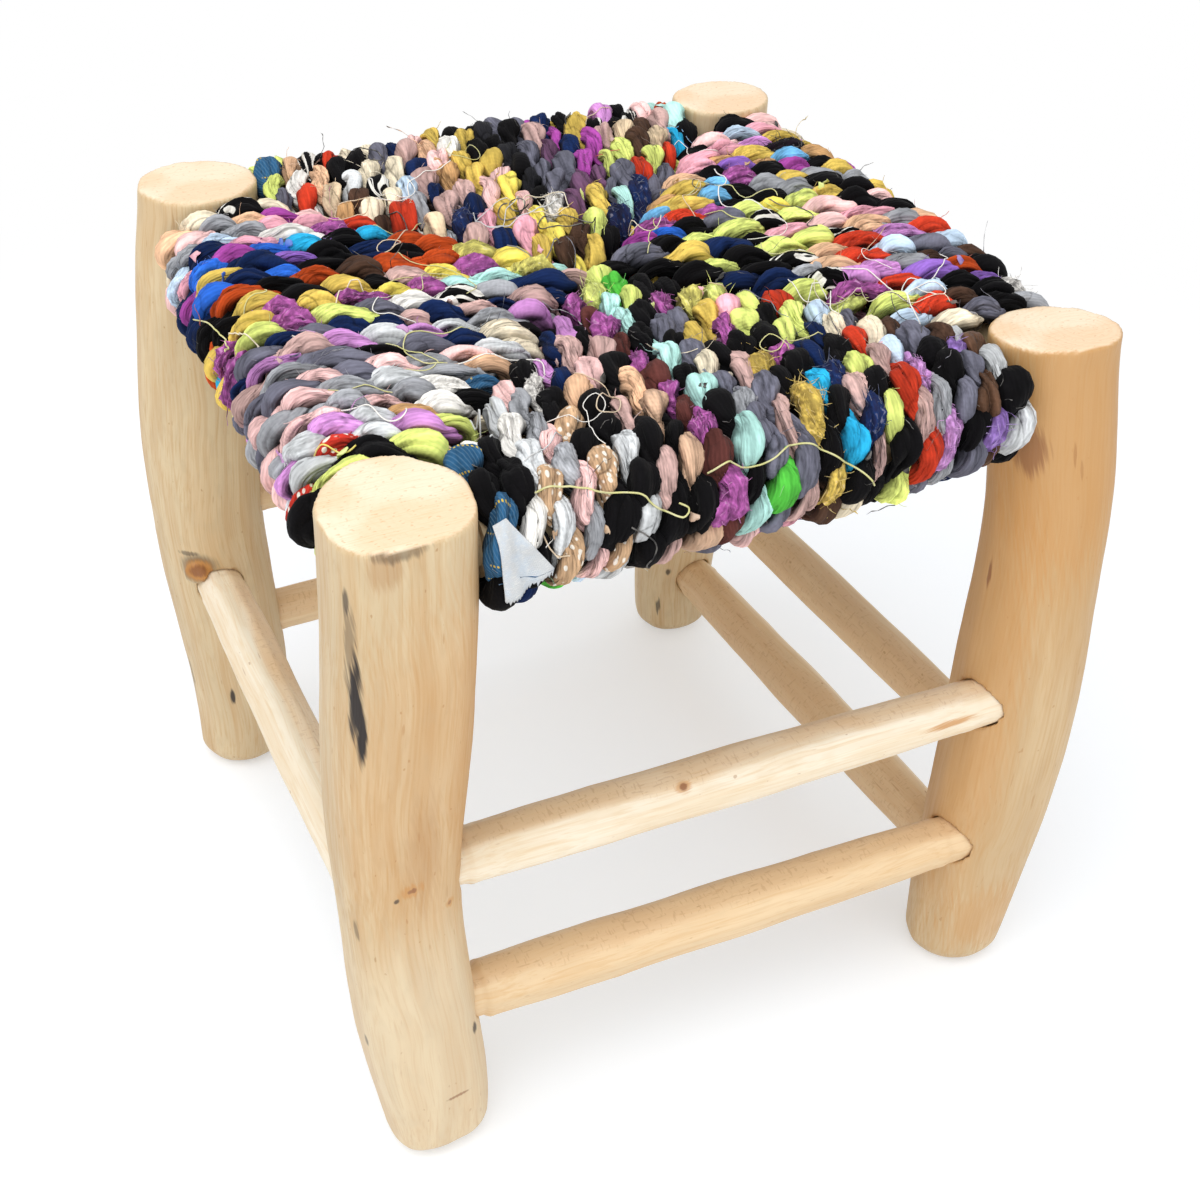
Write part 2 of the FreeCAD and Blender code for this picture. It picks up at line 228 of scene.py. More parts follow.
# Rags of each pass of the rope: its two plies on the outer face, at the rail, then nearer the middle
WOVEN_RAGS = {
    "front": (
        "denim/black>denim/black_print",
        "white/black>black/cream>cream/white",
        "tan_dots/pale_grey>white/black>cream/pale_grey",
        "light_pink/grey>light_pink/grey>grey/light_pink",
        "tan_dots/black>tan_dots/black>white_fray/black",
        "pale_grey/black>black/white_fray>cream/peach>navy/lilac",
        "dusty_pink/black>dusty_pink/black>light_pink/black>navy/dusty_pink",
        "beige_satin/black>black/peach>black/dusty_pink>black/lilac",
        "purple_fuzz/maroon",
        "mint/black>mint/black>mint/black>lime_fray/mint",
        "green/slate<slate/grey>slate/cream>slate/black>lime/green",
        "dusty_pink/slate>dusty_pink/black>mustard/slate>purple_fuzz/black",
        "mustard_fray/black>mustard_fray/black>purple_fuzz/mustard>yellow_fuzz/black",
        "turquoise/black>purple_fuzz/black>lime/black>lime_fray/pink",
        "navy_fray/dusty_pink>pink/navy>lime/black>lime/red",
        "lime/black>lime/black>navy/lime>red/pale_blue",
        "red/dusty_pink>red/lime>pale_blue/cream",
        "lilac_net/grey>cream/pale_blue>cream/slate",
        "black/slate>peach/black>slate/cream>slate/brown",
        "brown_satin/violet_net<violet_net/slate>slate/cream>slate/brown",
        "black/pale_grey>brown_satin/violet>black/pale_grey",
    ),
    "left": (
        "lime/black>lime/beige",
        "red_dots/pale_grey>lilac/lime",
        "pale_grey/lilac>grey/tan>white/black",
        "grey/light_pink>grey/white>denim/white",
        "grey/light_pink>grey/pale_grey>grey/peach",
        "slate/light_pink>grey/light_pink>grey/light_pink>pale_grey/cream",
        "slate/grey>slate/black>white_fray/navy>cream/black",
        "dusty_pink/lilac>pale_grey/lilac>lilac/grey",
        "slate/navy>navy/dusty_pink>navy/dusty_pink",
        "purple_fuzz/lime>slate/white>black_print/grey>navy/dusty_pink",
        "mustard/purple_fuzz>yellow/purple_fuzz>mint/purple_fuzz>yellow_fuzz/mint",
        "black/mustard>black/yellow>yellow/dusty_pink>yellow/purple_fuzz",
        "rust/black>rust/brown>rust/dusty_pink>yellow_fuzz/rust",
        "royal/navy>royal/black>navy/black>rust/black",
        "mustard/navy>violet/black>navy/black>navy/rust",
        "purple/royal>turquoise/white_fray>mustard/black>turquoise/navy",
        "pink/navy>purple/white>purple_fuzz/mustard_fray>turquoise/red",
        "pale_blue/grey>pink/tan>black/pink>purple/turquoise",
        "light_pink/grey>peach/black>pink/white>light_pink/purple",
        "peach/cream<lime/cream>black_print/mustard>slate/cream",
    ),
    "back": (
        "lime/denim>lime/cream>white/slate",
        "peach/lime>pale_grey/white>red/white",
        "black_print/peach>beige/tan>mint/tan",
        "red/black>pale_grey/brown>cream/brown",
        "cream/black>cream/black_print>black_print/red",
        "cream/slate>white/pale_blue>grey/beige",
        "navy/dusty_pink>navy/dusty_pink>navy_fray/dusty_pink",
        "light_pink/peach>dusty_pink/tan>pink/navy>dusty_pink/navy",
        "white/mustard>mustard/light_pink>mustard/pink",
        "mustard/black>yellow/light_pink>brown/yellow",
        "black/charcoal>black/charcoal>black/white_fray>mustard/brown",
        "black/slate>slate/black>plum/slate>black/lime",
        "slate/dusty_pink>plum/slate>plum/slate>navy_fray/mustard",
        "purple/navy>purple/slate>slate/plum>navy_fray/mint",
        "mustard/black>mustard/purple>lime/slate>navy_fray/yellow",
        "black_print/mustard>mustard/dusty_pink>lime/grey>slate/red",
        "lilac/black>beige/mustard>mustard/brown>lime/slate",
        "black/black_print>brown/lilac>yellow/beige>red/lime",
        "light_pink/black>black/dusty_pink>yellow/lilac>turquoise/navy",
        "rust/mint>black/light_pink>black/royal",
    ),
    "right": (
        "grey/black>slate/cream",
        "black/white_fray>slate/brown>grey/cream>red/pale_blue",
        "violet/black>slate/black>pale_blue/turquoise>red/lime",
        "rust/black>slate/violet>red/pale_blue>lime_fray/purple_fuzz",
        "slate/brown>grey/lilac>lilac/peach>lime/black_print",
        "slate/pale_blue>red/grey>grey/peach>black_print/navy",
        "red/lilac>lilac_net/peach>black_print/lime>navy/black",
        "grey/peach>black_print/lime>lime/black>lime/black",
        "black/pink>light_pink/pink>black/navy>mustard/black",
        "light_pink/black>black_print/lime>lime/mustard>slate/black",
        "mustard/black>yellow/lime>slate/black>royal/purple",
        "black/grey>black/grey>purple_fuzz/black>purple_fuzz/red",
        "grey/mustard>purple_fuzz/black>sky/mustard",
        "purple/black>purple_fuzz/sky>mustard/tan",
        "sky/tan>violet/sky>mustard/black>peach/slate",
        "black_fray/mustard>tan/mustard>slate/pink",
        "mustard/lilac>pink/slate>lilac/pink",
        "pink/cream>lilac/pale_blue>light_pink/black",
        "light_pink/black>pink/peach",
    ),
}


def web_colour(code):
    """Linear red, green and blue of a web colour."""
    shares = [int(code[at:at + 2], 16) / 255 for at in (0, 2, 4)]
    return tuple(s / 12.92 if s <= 0.04045 else ((s + 0.055) / 1.055) ** 2.4 for s in shares)


def number(name, default, description, **kind):
    """Property for a number."""
    return FloatProperty(name=name, default=default, description=description, **kind)


def length(name, default, description):
    """Property for a length in metres."""
    return number(name, default, description, unit="LENGTH", precision=5)


def angle(name, degrees, description):
    """Property for an angle."""
    return number(name, math.radians(degrees), description, subtype="ANGLE")


def count(name, default, description, **limits):
    """Property for a whole number."""
    return IntProperty(name=name, default=default, description=description, **limits)


def colour(name, code, description):
    """Property for a paint colour."""
    return FloatVectorProperty(
        name=name, default=web_colour(code), description=description, subtype="COLOR", min=0.0, max=1.0
    )


class RagRope(PropertyGroup):
    """Sizes of the two-ply rope and of the weave."""

    ply_radius: length("Ply radius", 0.0045, "Half the thickness of one twisted ply")
    lay: length("Lay", 0.033, "Length of rope in which a ply goes once round")
    swing_out: length("Swing out", 0.0035, "How far a ply swings off the rope's middle, away from the rail")
    swing_side: length("Swing side", 0.0027, "How far a ply swings sideways")
    step: length("Step", 0.0019, "Distance between rings of the ply mesh")
    sides: count("Sides", 26, "Points round a ply", min=8)
    pleat: length("Pleat", 0.0025, "Depth of the folds along a ply")
    lump: length("Lump", 0.0018, "Height of the lumps of crumpled cloth")
    reach: length("Reach", 0.0030, "How far a pass goes on past its solid before it dives")
    scatter: length("Scatter", 0.0050, "How far the ends of the passes differ")
    sag: length("Sag", 0.0050, "How far the middle of the seat lies below its edge")
    crown: length("Crown", 0.0030, "How much higher the middle of a side lies than its corners")
    end_girth: number("End girth", 1.16, "Girth of the passes beside the legs")
    draw_in: number("Draw in", 0.003, "Share by which passes draw off the legs")
    fray: number("Fray", 5500.0, "Loose fibres on a square metre of cloth")
    thread: number("Thread", 420.0, "Loose threads on a square metre of cloth")
    ends: number("Ends", 400.0, "Torn rag ends on a square metre of cloth")
    yarns: count("Yarns", 52, "Loose yarns that lie on the seat")
    fibre: length("Fibre", 0.00020, "Half the thickness of a loose fibre")
    yarn_radius: length("Yarn radius", 0.00042, "Half the thickness of a loose yarn")
    scrap_width: length("Scrap width", 0.022, "Width of the torn rag end, laid flat")
    scrap_length: length("Scrap length", 0.036, "Length of the torn rag end, laid flat")
    scrap_share: number("Scrap share", 0.685, "Share of that size left of it")
    scrap_thick: length("Scrap thickness", 0.0005, "Thickness of the torn rag end")
    seed: count("Seed", 7, "Seed of the irregular weave")


class RagPalette(PropertyGroup):
    """Colours of the rags."""

    __annotations__ = {
        name: colour(name.replace("_", " ").capitalize(), code, "Colour of this rag")
        for name, (code, _) in RAGS.items()
    }


class WoodFinish(PropertyGroup):
    """Colours and fineness of the peeled wood."""

    pale: colour("Pale", "dcc7a1", "Main colour of the peeled legs")
    pale_dull: colour("Pale dull", "c7b08b", "Greyer bands of the legs")
    pale_streak: colour("Pale streak", "c29862", "Darker grain of the legs")
    rung: colour("Rung", "f5ead5", "Main colour of the rungs")
    rung_dull: colour("Rung dull", "e8d5b4", "Greyer bands of the rungs")
    rung_streak: colour("Rung streak", "e2c394", "Darker grain of the rungs")
    ruddy: colour("Ruddy", "edd3ac", "Main colour of the redder rungs")
    ruddy_dull: colour("Ruddy dull", "dfc59e", "Greyer bands of the redder rungs")
    ruddy_streak: colour("Ruddy streak", "d8af79", "Darker grain of the redder rungs")
    # Tooled and shaded: rough face of a rung, darker partly as painted shade from the seat
    tooled: colour("Tooled", "e0bd92", "Rough upper face of a rung")
    fleck: colour("Fleck", "a8743f", "Small brown flecks")
    warm: colour("Warm", "c98b42", "Orange heartwood")
    sawn: colour("Sawn", "f1e0c4", "Sawn end of a leg")
    ring: colour("Ring", "edc8a0", "Growth rings on a sawn end")
    stain: colour("Stain", "271d18", "Dark stains and cracks")
    knot: colour("Knot", "8a5530", "Knots")
    leg_voxel: length("Leg voxel", 0.0016, "Fineness of the leg mesh")
    rung_voxel: length("Rung voxel", 0.0014, "Fineness of the rung mesh")
    leg_dents: length("Leg dents", 0.0005, "Depth of the dents in a leg")
    rung_dents: length("Rung dents", 0.0002, "Depth of the dents in a rung")
    leg_flats: number("Leg flats", 0.014, "Depth of the knife's flats on a leg")
    rung_flats: number("Rung flats", 0.055, "Depth of the knife's flats on a rung")


class StudioStage(PropertyGroup):
    """Camera, lamp and floor."""

    place: FloatVectorProperty(
        name="Camera place", default=(-0.34751, -0.67484, 0.76263), subtype="TRANSLATION",
        description="Where the camera stands",
    )
    azimuth: angle("Azimuth", -27.72, "How far round the stool it stands")
    elevation: angle("Elevation", 37.68, "How far it looks down")
    roll: angle("Roll", 2.35, "Tilt sideways")
    lens: number("Lens", 53.15, "Focal length", subtype="DISTANCE_CAMERA")
    sky: number("Sky", 0.68, "Strength of the light from all round")
    lamp: number("Lamp", 28.0, "Power of the soft box above", subtype="POWER")
    front: number("Front", 8.5, "Power of the front soft box", subtype="POWER")
    lamp_side: length("Lamp side", 1.9, "Side of the soft box")
    lamp_height: length("Lamp height", 2.0, "Height of the soft box")
    floor_side: length("Floor side", 9.0, "Side of the floor")
    shade_reach: length("Shade reach", 0.95, "How far from the middle the floor still takes shadow")
    floor_white: number("Floor white", 0.40, "White of the floor without light")
    floor_shade: FloatVectorProperty(
        name="Floor shade", default=(0.645, 0.676, 0.712), subtype="COLOR",
        description="Paint that takes shadow",
    )


class Net:
    """A node tree, with short ways to add to it."""

    def __init__(self, tree):
        self.tree = tree

    def put(self, socket, value):
        """Link or set one input."""
        if isinstance(value, bpy.types.NodeSocket):
            self.tree.links.new(value, socket)
        else:
            socket.default_value = value

    def node(self, kind, inputs=None, **settings):
        """Add a node, set it up and fill its inputs."""
        made = self.tree.nodes.new(kind)
        for name, value in settings.items():
            setattr(made, name, value)
        for key, value in (inputs or {}).items():
            self.put(made.inputs[key], value)
        return made

    def math(self, operation, *values, clamp=False):
        """Result of a sum on numbers."""
        made = self.node("ShaderNodeMath", dict(enumerate(values)), operation=operation, use_clamp=clamp)
        return made.outputs[0]

    def plus(self, first, second, clamp=False):
        """Two numbers added."""
        return self.math("ADD", first, second, clamp=clamp)

    def minus(self, first, second):
        """The first number less the second."""
        return self.math("SUBTRACT", first, second)

    def times(self, first, *others):
        """Numbers multiplied, one after the other."""
        for other in others:
            first = self.math("MULTIPLY", first, other)
        return first

    def times_plus(self, first, second, third):
        """The first number times the second, plus the third."""
        return self.math("MULTIPLY_ADD", first, second, third)

    def larger(self, first, second):
        """The larger of two numbers."""
        return self.math("MAXIMUM", first, second)

    def is_kind(self, kind, cloth):
        """One where a rag is of one kind of cloth, else zero."""
        return self.math("COMPARE", kind, float(cloth), KIND_GAP)

    def vector(self, operation, *values):
        """Result of a sum on vectors."""
        made = self.node("ShaderNodeVectorMath", dict(enumerate(values)), operation=operation)
        return made.outputs[1 if operation in {"LENGTH", "DOT_PRODUCT"} else 0]

    def parts(self, vector):
        """The three numbers of a vector."""
        return self.node("ShaderNodeSeparateXYZ", {0: vector}).outputs

    def scaled(self, vector, factor):
        """A vector times a number."""
        return self.node("ShaderNodeVectorMath", {0: vector, "Scale": factor}, operation="SCALE").outputs[0]

    def noise(self, vector, scale, detail):
        """Value of a noise, about a half."""
        inputs = {"Vector": vector, "Scale": scale, "Detail": detail}
        return self.node("ShaderNodeTexNoise", inputs).outputs[0]

    def stretched(self, vector, scales, detail):
        """Value of a noise with its own scale on each axis."""
        return self.noise(self.vector("MULTIPLY", vector, scales), 1.0, detail)

    def shifts(self, vector, scale, detail):
        """A small vector that changes from place to place, about zero."""
        inputs = {"Vector": vector, "Scale": scale, "Detail": detail}
        shift = self.node("ShaderNodeTexNoise", inputs).outputs["Color"]
        return self.vector("SUBTRACT", shift, (0.5, 0.5, 0.5))

    def ramp(self, value, low, high, start=0.0, end=1.0):
        """A value eased from one range to another."""
        inputs = {0: value, 1: low, 2: high, 3: start, 4: end}
        return self.node("ShaderNodeMapRange", inputs, interpolation_type="SMOOTHSTEP").outputs[0]

    def mix(self, factor, first, second, blend="MIX"):
        """Two colours mixed."""
        inputs = {0: factor, 6: first, 7: second}
        return self.node("ShaderNodeMix", inputs, data_type="RGBA", blend_type=blend).outputs[2]

    def combine(self, x, y, z):
        """A vector from three numbers."""
        return self.node("ShaderNodeCombineXYZ", {0: x, 1: y, 2: z}).outputs[0]

    def attribute(self, name):
        """A shader's attribute node."""
        return self.node("ShaderNodeAttribute", attribute_name=name)

    def stored(self, name, kind):
        """A named attribute of the geometry."""
        return self.node("GeometryNodeInputNamedAttribute", {"Name": name}, data_type=kind).outputs[0]

    def store(self, geometry, name, kind, value):
        """The geometry with a named attribute stored on its points."""
        made = self.node(
            "GeometryNodeStoreNamedAttribute", {"Geometry": geometry, "Name": name, "Value": value},
            data_type=kind, domain="POINT",
        )
        return made.outputs[0]

    def moved(self, geometry, offset):
        """The geometry with its points shifted."""
        return self.node("GeometryNodeSetPosition", {"Geometry": geometry, "Offset": offset}).outputs[0]

    def smooth(self, geometry):
        """The geometry with smooth shading."""
        inputs = {"Geometry": geometry, "Shade Smooth": True}
        return self.node("GeometryNodeSetShadeSmooth", inputs).outputs[0]

    def realized(self, geometry):
        """The geometry with its instances made real."""
        return self.node("GeometryNodeRealizeInstances", {"Geometry": geometry}).outputs[0]

    def dressed(self, geometry, material):
        """The geometry made real, with its material."""
        dress = {"Geometry": self.realized(geometry), "Material": material}
        return self.node("GeometryNodeSetMaterial", dress).outputs[0]


def new_tree(name, kind, inputs, outputs):
    """A new node tree, its net, its inputs and its output node."""
    tree = bpy.data.node_groups.new(name, kind)
    for way, sockets in (("INPUT", inputs), ("OUTPUT", outputs)):
        for label, held in sockets.items():
            tree.interface.new_socket(label, in_out=way, socket_type="NodeSocket" + held)
    net = Net(tree)
    return tree, net, net.node("NodeGroupInput").outputs, net.node("NodeGroupOutput")


def geometry_tree(name, inputs):
    """A new geometry tree, its net, its inputs and its output node."""
    return new_tree(name, "GeometryNodeTree", {"Geometry": "Geometry", **inputs}, {"Geometry": "Geometry"})


def new_object(name, mesh):
    """An object in the scene."""
    made = bpy.data.objects.new(name, mesh)
    bpy.context.scene.collection.objects.link(made)
    return made


def plain_mesh(shape):
    """Mesh of an object with its modifiers carried out."""
    depsgraph = bpy.context.evaluated_depsgraph_get()
    evaluated = shape.evaluated_get(depsgraph)
    return bpy.data.meshes.new_from_object(evaluated, preserve_all_data_layers=True, depsgraph=depsgraph)


def grown(shape, tree, values, name, keep=False):
    """New object that a geometry tree makes from a shape."""
    modifier = shape.modifiers.new("grow", "NODES")
    modifier.node_group = tree
    for item in tree.interface.items_tree:
        if item.item_type == "SOCKET" and item.in_out == "INPUT" and item.name in values:
            modifier[item.identifier] = values[item.name]
    mesh = plain_mesh(shape)
    if keep:
        shape.modifiers.remove(modifier)
    else:
        bpy.data.objects.remove(shape)
    return new_object(name, mesh)


def points_of(mesh):
    """Points of a mesh, one in each row."""
    points = np.empty(len(mesh.vertices) * 3)
    mesh.vertices.foreach_get("co", points)
    return points.reshape(-1, 3)


def note_points(mesh, name, kind, values):
    """Store a named value, vector or colour on each point of a mesh."""
    field = {"FLOAT": "value", "FLOAT_VECTOR": "vector", "FLOAT_COLOR": "color"}[kind]
    flat = np.array(values, dtype=np.float32).ravel()
    mesh.attributes.new(name, kind, "POINT").data.foreach_set(field, flat)


def smooth_mesh(name, spots, faces):
    """A mesh of faces with smooth shading."""
    mesh = bpy.data.meshes.new(name)
    mesh.from_pydata(spots, [], faces)
    mesh.polygons.foreach_set("use_smooth", [True] * len(faces))
    return mesh


def finish_piece(piece, slot, *nodes):
    """Tie a piece to its body and hide the solids that it stands for. The finish that it is given is not
    used.
    """
    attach(piece, BODY)
    if nodes:
        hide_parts(*nodes)


def new_material(name):
    """A material with an empty net and its shader."""
    material = bpy.data.materials.new(name)
    material.use_nodes = True
    material.node_tree.nodes.clear()
    net = Net(material.node_tree)
    shader = net.node("ShaderNodeBsdfPrincipled")
    net.node("ShaderNodeOutputMaterial", {"Surface": shader.outputs[0]})
    return material, net, shader


def paint_shader(net, shader, paint, roughness, bump=None):
    """Fill the main inputs of a material's shader."""
    net.put(shader.inputs["Base Color"], paint)
    net.put(shader.inputs["Roughness"], roughness)
    if bump is not None:
        net.put(shader.inputs["Normal"], bump.outputs[0])


# Wood

def wood_grain_group():
    """Grain of peeled wood: colour, roughness and height from a vector that runs along the piece."""
    group, net, given, output = new_tree(
        "wood grain", "ShaderNodeTree",
        {"Grain": "Vector", "Tool": "Float", "Pale": "Color", "Dull": "Color", "Streak": "Color",
         "Tooled": "Color", "Fleck": "Color", "Seed": "Float"},
        {"Color": "Color", "Roughness": "Float", "Height": "Float"},
    )
    shift = net.combine(given["Seed"], given["Seed"], 0.0)
    place = net.vector("ADD", given["Grain"], shift)
    bend = net.noise(place, 14.0, 1.0)
    sway = net.combine(net.times(bend, 0.012), 0.0, 0.0)
    swayed = net.vector("ADD", place, sway)
    bands = net.stretched(swayed, (85.0, 85.0, 2.8), 3.0)
    lines = net.stretched(swayed, (430.0, 430.0, 7.0), 2.0)
    fibres = net.stretched(swayed, (1100.0, 1100.0, 26.0), 2.0)
    zones = net.stretched(swayed, (34.0, 34.0, 6.0), 2.0)
    mottle = net.stretched(place, (190.0, 190.0, 70.0), 2.0)
    clouds = net.noise(place, 22.0, 2.0)
    dashes = net.stretched(place, (420.0, 420.0, 60.0), 1.0)
    specks = net.stretched(place, (520.0, 520.0, 260.0), 0.0)
    wood = net.mix(net.ramp(zones, 0.46, 0.66, 0.0, 0.60), given["Pale"], given["Dull"])
    tone = net.ramp(bands, 0.44, 0.70, 0.0, 0.38)
    tone = net.plus(tone, net.ramp(zones, 0.50, 0.34, 0.0, 0.35), clamp=True)
    wood = net.mix(tone, wood, given["Streak"])
    wood = net.mix(net.ramp(mottle, 0.48, 0.72, 0.0, 0.35), wood, given["Dull"])
    wood = net.mix(net.ramp(lines, 0.51, 0.62, 0.0, 0.26), wood, given["Streak"])
    wood = net.mix(net.ramp(fibres, 0.5, 0.68, 0.0, 0.30), wood, given["Streak"])
    # Rough face of a rung: tooled colour, darker partly as painted shade from the seat above
    rubbed_and_shaded = net.times(given["Tool"], net.ramp(clouds, 0.3, 0.7, 0.45, 0.85))
    wood = net.mix(rubbed_and_shaded, wood, given["Tooled"])
    crossing = net.stretched(place, (240.0, 240.0, 900.0), 1.0)
    running = net.stretched(place, (900.0, 900.0, 170.0), 1.0)
    checks = net.larger(net.ramp(crossing, 0.60, 0.70), net.ramp(running, 0.62, 0.72))
    checks = net.times(checks, given["Tool"], 0.24)
    fleck = net.ramp(dashes, 0.73, 0.80, 0.0, 0.40)
    speck = net.ramp(specks, 0.82, 0.87, 0.0, 0.50)
    marked = net.larger(net.larger(fleck, speck), checks)
    wood = net.mix(marked, wood, given["Fleck"])
    net.put(output.inputs["Color"], wood)
    net.put(output.inputs["Roughness"], net.ramp(fibres, 0.3, 0.7, 0.46, 0.62))
    height = net.minus(fibres, net.times(marked, 0.9))
    net.put(output.inputs["Height"], height)
    return group


def timber_mark_group():
    """Mask of one stain, knot or crack, ragged at its edge."""
    group, net, given, output = new_tree(
        "timber mark", "ShaderNodeTree",
        {"Grain": "Vector", "Centre": "Vector", "Size": "Vector", "Ragged": "Float"}, {"Mask": "Float"},
    )
    offset = net.vector("SUBTRACT", given["Grain"], given["Centre"])
    reach = net.vector("LENGTH", net.vector("DIVIDE", offset, given["Size"]))
    parts = net.parts(given["Grain"])
    around = net.times(net.math("ARCTAN2", parts[1], parts[0]), 0.032)
    slant = net.times_plus(parts[2], 0.22, around)
    strokes = net.combine(net.times(slant, 620.0), net.times(parts[2], 42.0), 0.0)
    rough = net.noise(strokes, 1.0, 3.0)
    rough = net.times(net.minus(rough, 0.5), net.times(given["Ragged"], 1.4))
    net.put(output.inputs["Mask"], net.ramp(net.plus(reach, rough), 1.1, 0.5))
    return group


def grain_nodes(net, grain, finish, seed, pale="pale"):
    """The shared grain, placed in one material."""
    tree = bpy.data.node_groups.get("wood grain") or wood_grain_group()
    made = net.node("ShaderNodeGroup", node_tree=tree)
    net.put(made.inputs["Grain"], grain)
    net.put(made.inputs["Tool"], net.attribute("tooled").outputs["Fac"])
    paints = {
        "Pale": pale, "Dull": pale + "_dull", "Streak": pale + "_streak",
        "Tooled": "tooled", "Fleck": "fleck",
    }
    for label, paint in paints.items():
        made.inputs[label].default_value = (*getattr(finish, paint), 1.0)
    made.inputs["Seed"].default_value = seed
    return made.outputs


def sawn_face(net, grain, finish, strength):
    """Colour and saw marks of a sawn end, with growth rings of a given strength."""
    flat = net.vector("MULTIPLY", grain, (1.0, 1.0, 0.0))
    waver = net.times(net.noise(flat, 60.0, 2.0), 0.006)
    heart = net.vector("LENGTH", net.vector("SUBTRACT", flat, (0.012, -0.006, 0.0)))
    heart = net.plus(heart, waver)
    rings = net.ramp(net.math("SINE", net.times(heart, 1900.0)), -0.2, 1.0, 0.0, strength)
    halves = net.ramp(net.noise(flat, 26.0, 1.0), 0.42, 0.58, 0.0, 0.6)
    saw = net.stretched(flat, (60.0, 1500.0, 1.0), 1.0)
    sawed = net.ramp(saw, 0.5, 0.75, 0.0, 0.5)
    tone = net.plus(net.plus(rings, halves), sawed, clamp=True)
    face = net.mix(tone, (*finish.sawn, 1.0), (*finish.ring, 1.0))
    pores = net.ramp(net.stretched(flat, (520.0, 1100.0, 1.0), 0.0), 0.60, 0.72)
    rows = net.ramp(net.math("SINE", net.times(heart, 1100.0)), 0.1, 0.8, 0.05, 0.38)
    return net.mix(net.times(pores, rows), face, (*finish.warm, 1.0)), saw


def timber_material(name, finish, seed, marks, sawn, pale="pale"):
    """Peeled wood with the marks of one piece and, where it has one, its sawn end."""
    material, net, shader = new_material(name)
    grain = net.attribute("grain").outputs["Vector"]
    wood = grain_nodes(net, grain, finish, seed, pale)
    paint = wood["Color"]
    tree = bpy.data.node_groups.get("timber mark") or timber_mark_group()
    for tint, strength, centre, size, ragged in marks:
        made = net.node("ShaderNodeGroup", node_tree=tree)
        net.put(made.inputs["Grain"], grain)
        made.inputs["Centre"].default_value = centre
        made.inputs["Size"].default_value = size
        made.inputs["Ragged"].default_value = ragged
        mask = net.times(made.outputs["Mask"], strength)
        paint = net.mix(mask, paint, (*getattr(finish, tint), 1.0))
    height = wood["Height"]
    if sawn is not None:
        end = net.attribute("sawn").outputs["Fac"]
        face, saw = sawn_face(net, grain, finish, sawn)
        paint = net.mix(end, paint, face)
        height = net.mix(end, height, saw)
    bump = net.node("ShaderNodeBump", {"Height": height, "Strength": 0.22, "Distance": 0.0006})
    paint_shader(net, shader, paint, wood["Roughness"], bump)
    return material


def knife_flats(grain, count, depth, seed):
    """Share of its radius that each point keeps where a drawknife cuts flats along the timber."""
    chance = random.Random(seed)
    around = np.arctan2(grain[:, 1], grain[:, 0])
    left = np.full(len(grain), math.exp(-FLAT_CRISP))
    for flat in range(count):
        way = math.tau * (flat + chance.uniform(-FLAT_WANDER, FLAT_WANDER)) / count
        waves = grain[:, 2] * chance.uniform(*FLAT_WAVES) + chance.uniform(0.0, math.tau)
        sway = FLAT_SWAY * np.sin(waves)
        cut = 1.0 - depth * chance.uniform(*FLAT_DEPTHS)
        facing = np.maximum(np.cos(around - way - sway), FLAT_REACH)
        left += np.exp(-FLAT_CRISP * cut / facing)
    kept = -np.log(left) / FLAT_CRISP
    return kept * (1.0 - 0.25 * depth) / kept.mean()


def mortise_faces(long_axis, low, high):
    """Where the skins of the legs end around the mortises of a rung, along its length."""
    faces = [low[long_axis], high[long_axis]]
    middle = sum(faces) / 2
    for corner in CORNERS:
        skin = points_of(frame["nodes"]["leg_" + corner].data)
        share = (skin[:, long_axis] - faces[0]) / (faces[1] - faces[0])
        line = low + (high - low) * share[:, None]
        near = skin[np.linalg.norm(skin - line, axis=1) < MORTISE_REACH, long_axis]
        if (near < middle).any():
            faces[0] = max(faces[0], near[near < middle].max())
        if (near > middle).any():
            faces[1] = min(faces[1], near[near > middle].min())
    return faces


def straight_ends(grain, faces):
    """Share of its radius that takes the neck off a rung, so that it runs straight into the legs."""
    along = grain[:, 2]
    reach = np.hypot(grain[:, 0], grain[:, 1])
    steps = np.linspace(along.min(), along.max(), GIRTH_STEPS + 1)
    step = np.clip(np.digitize(along, steps) - 1, 0, GIRTH_STEPS - 1)
    girths = np.array([reach[step == index].max() for index in range(GIRTH_STEPS)])
    middles = (steps[:-1] + steps[1:]) / 2
    girth = np.interp(along, middles, girths)
    share = np.ones(len(grain))
    for face, way in zip(faces, (1.0, -1.0)):
        inward = (along - face) * way
        whole = np.interp(face + way * TAPER_LENGTH, middles, girths)
        wanted = whole * (TAPER_END + (1.0 - TAPER_END) * np.clip(inward / TAPER_LENGTH, 0.0, 1.0))
        rise = np.clip((inward - TENON_SHOW) / TENON_RISE, 0.0, 1.0)
        ends = (inward > 0.0) & (inward < TAPER_LENGTH)
        share[ends] = (1.0 + (wanted / girth - 1.0) * rise * (2.0 - rise))[ends]
    return share


def fine_copy(node, name, voxel):
    """Even and fine mesh of a solid."""
    mesh = frame["nodes"][node].data.copy()
    shell = bmesh.new()
    shell.from_mesh(mesh)
    bmesh.ops.remove_doubles(shell, verts=shell.verts, dist=MERGE_GAP)
    shell.to_mesh(mesh)
    shell.free()
    copy = new_object(name + "_solid", mesh)
    remesh = copy.modifiers.new("even", "REMESH")
    remesh.mode = "VOXEL"
    remesh.voxel_size = voxel
    remesh.use_smooth_shade = True
    fine = plain_mesh(copy)
    bpy.data.objects.remove(copy)
    fine.materials.clear()
    return fine


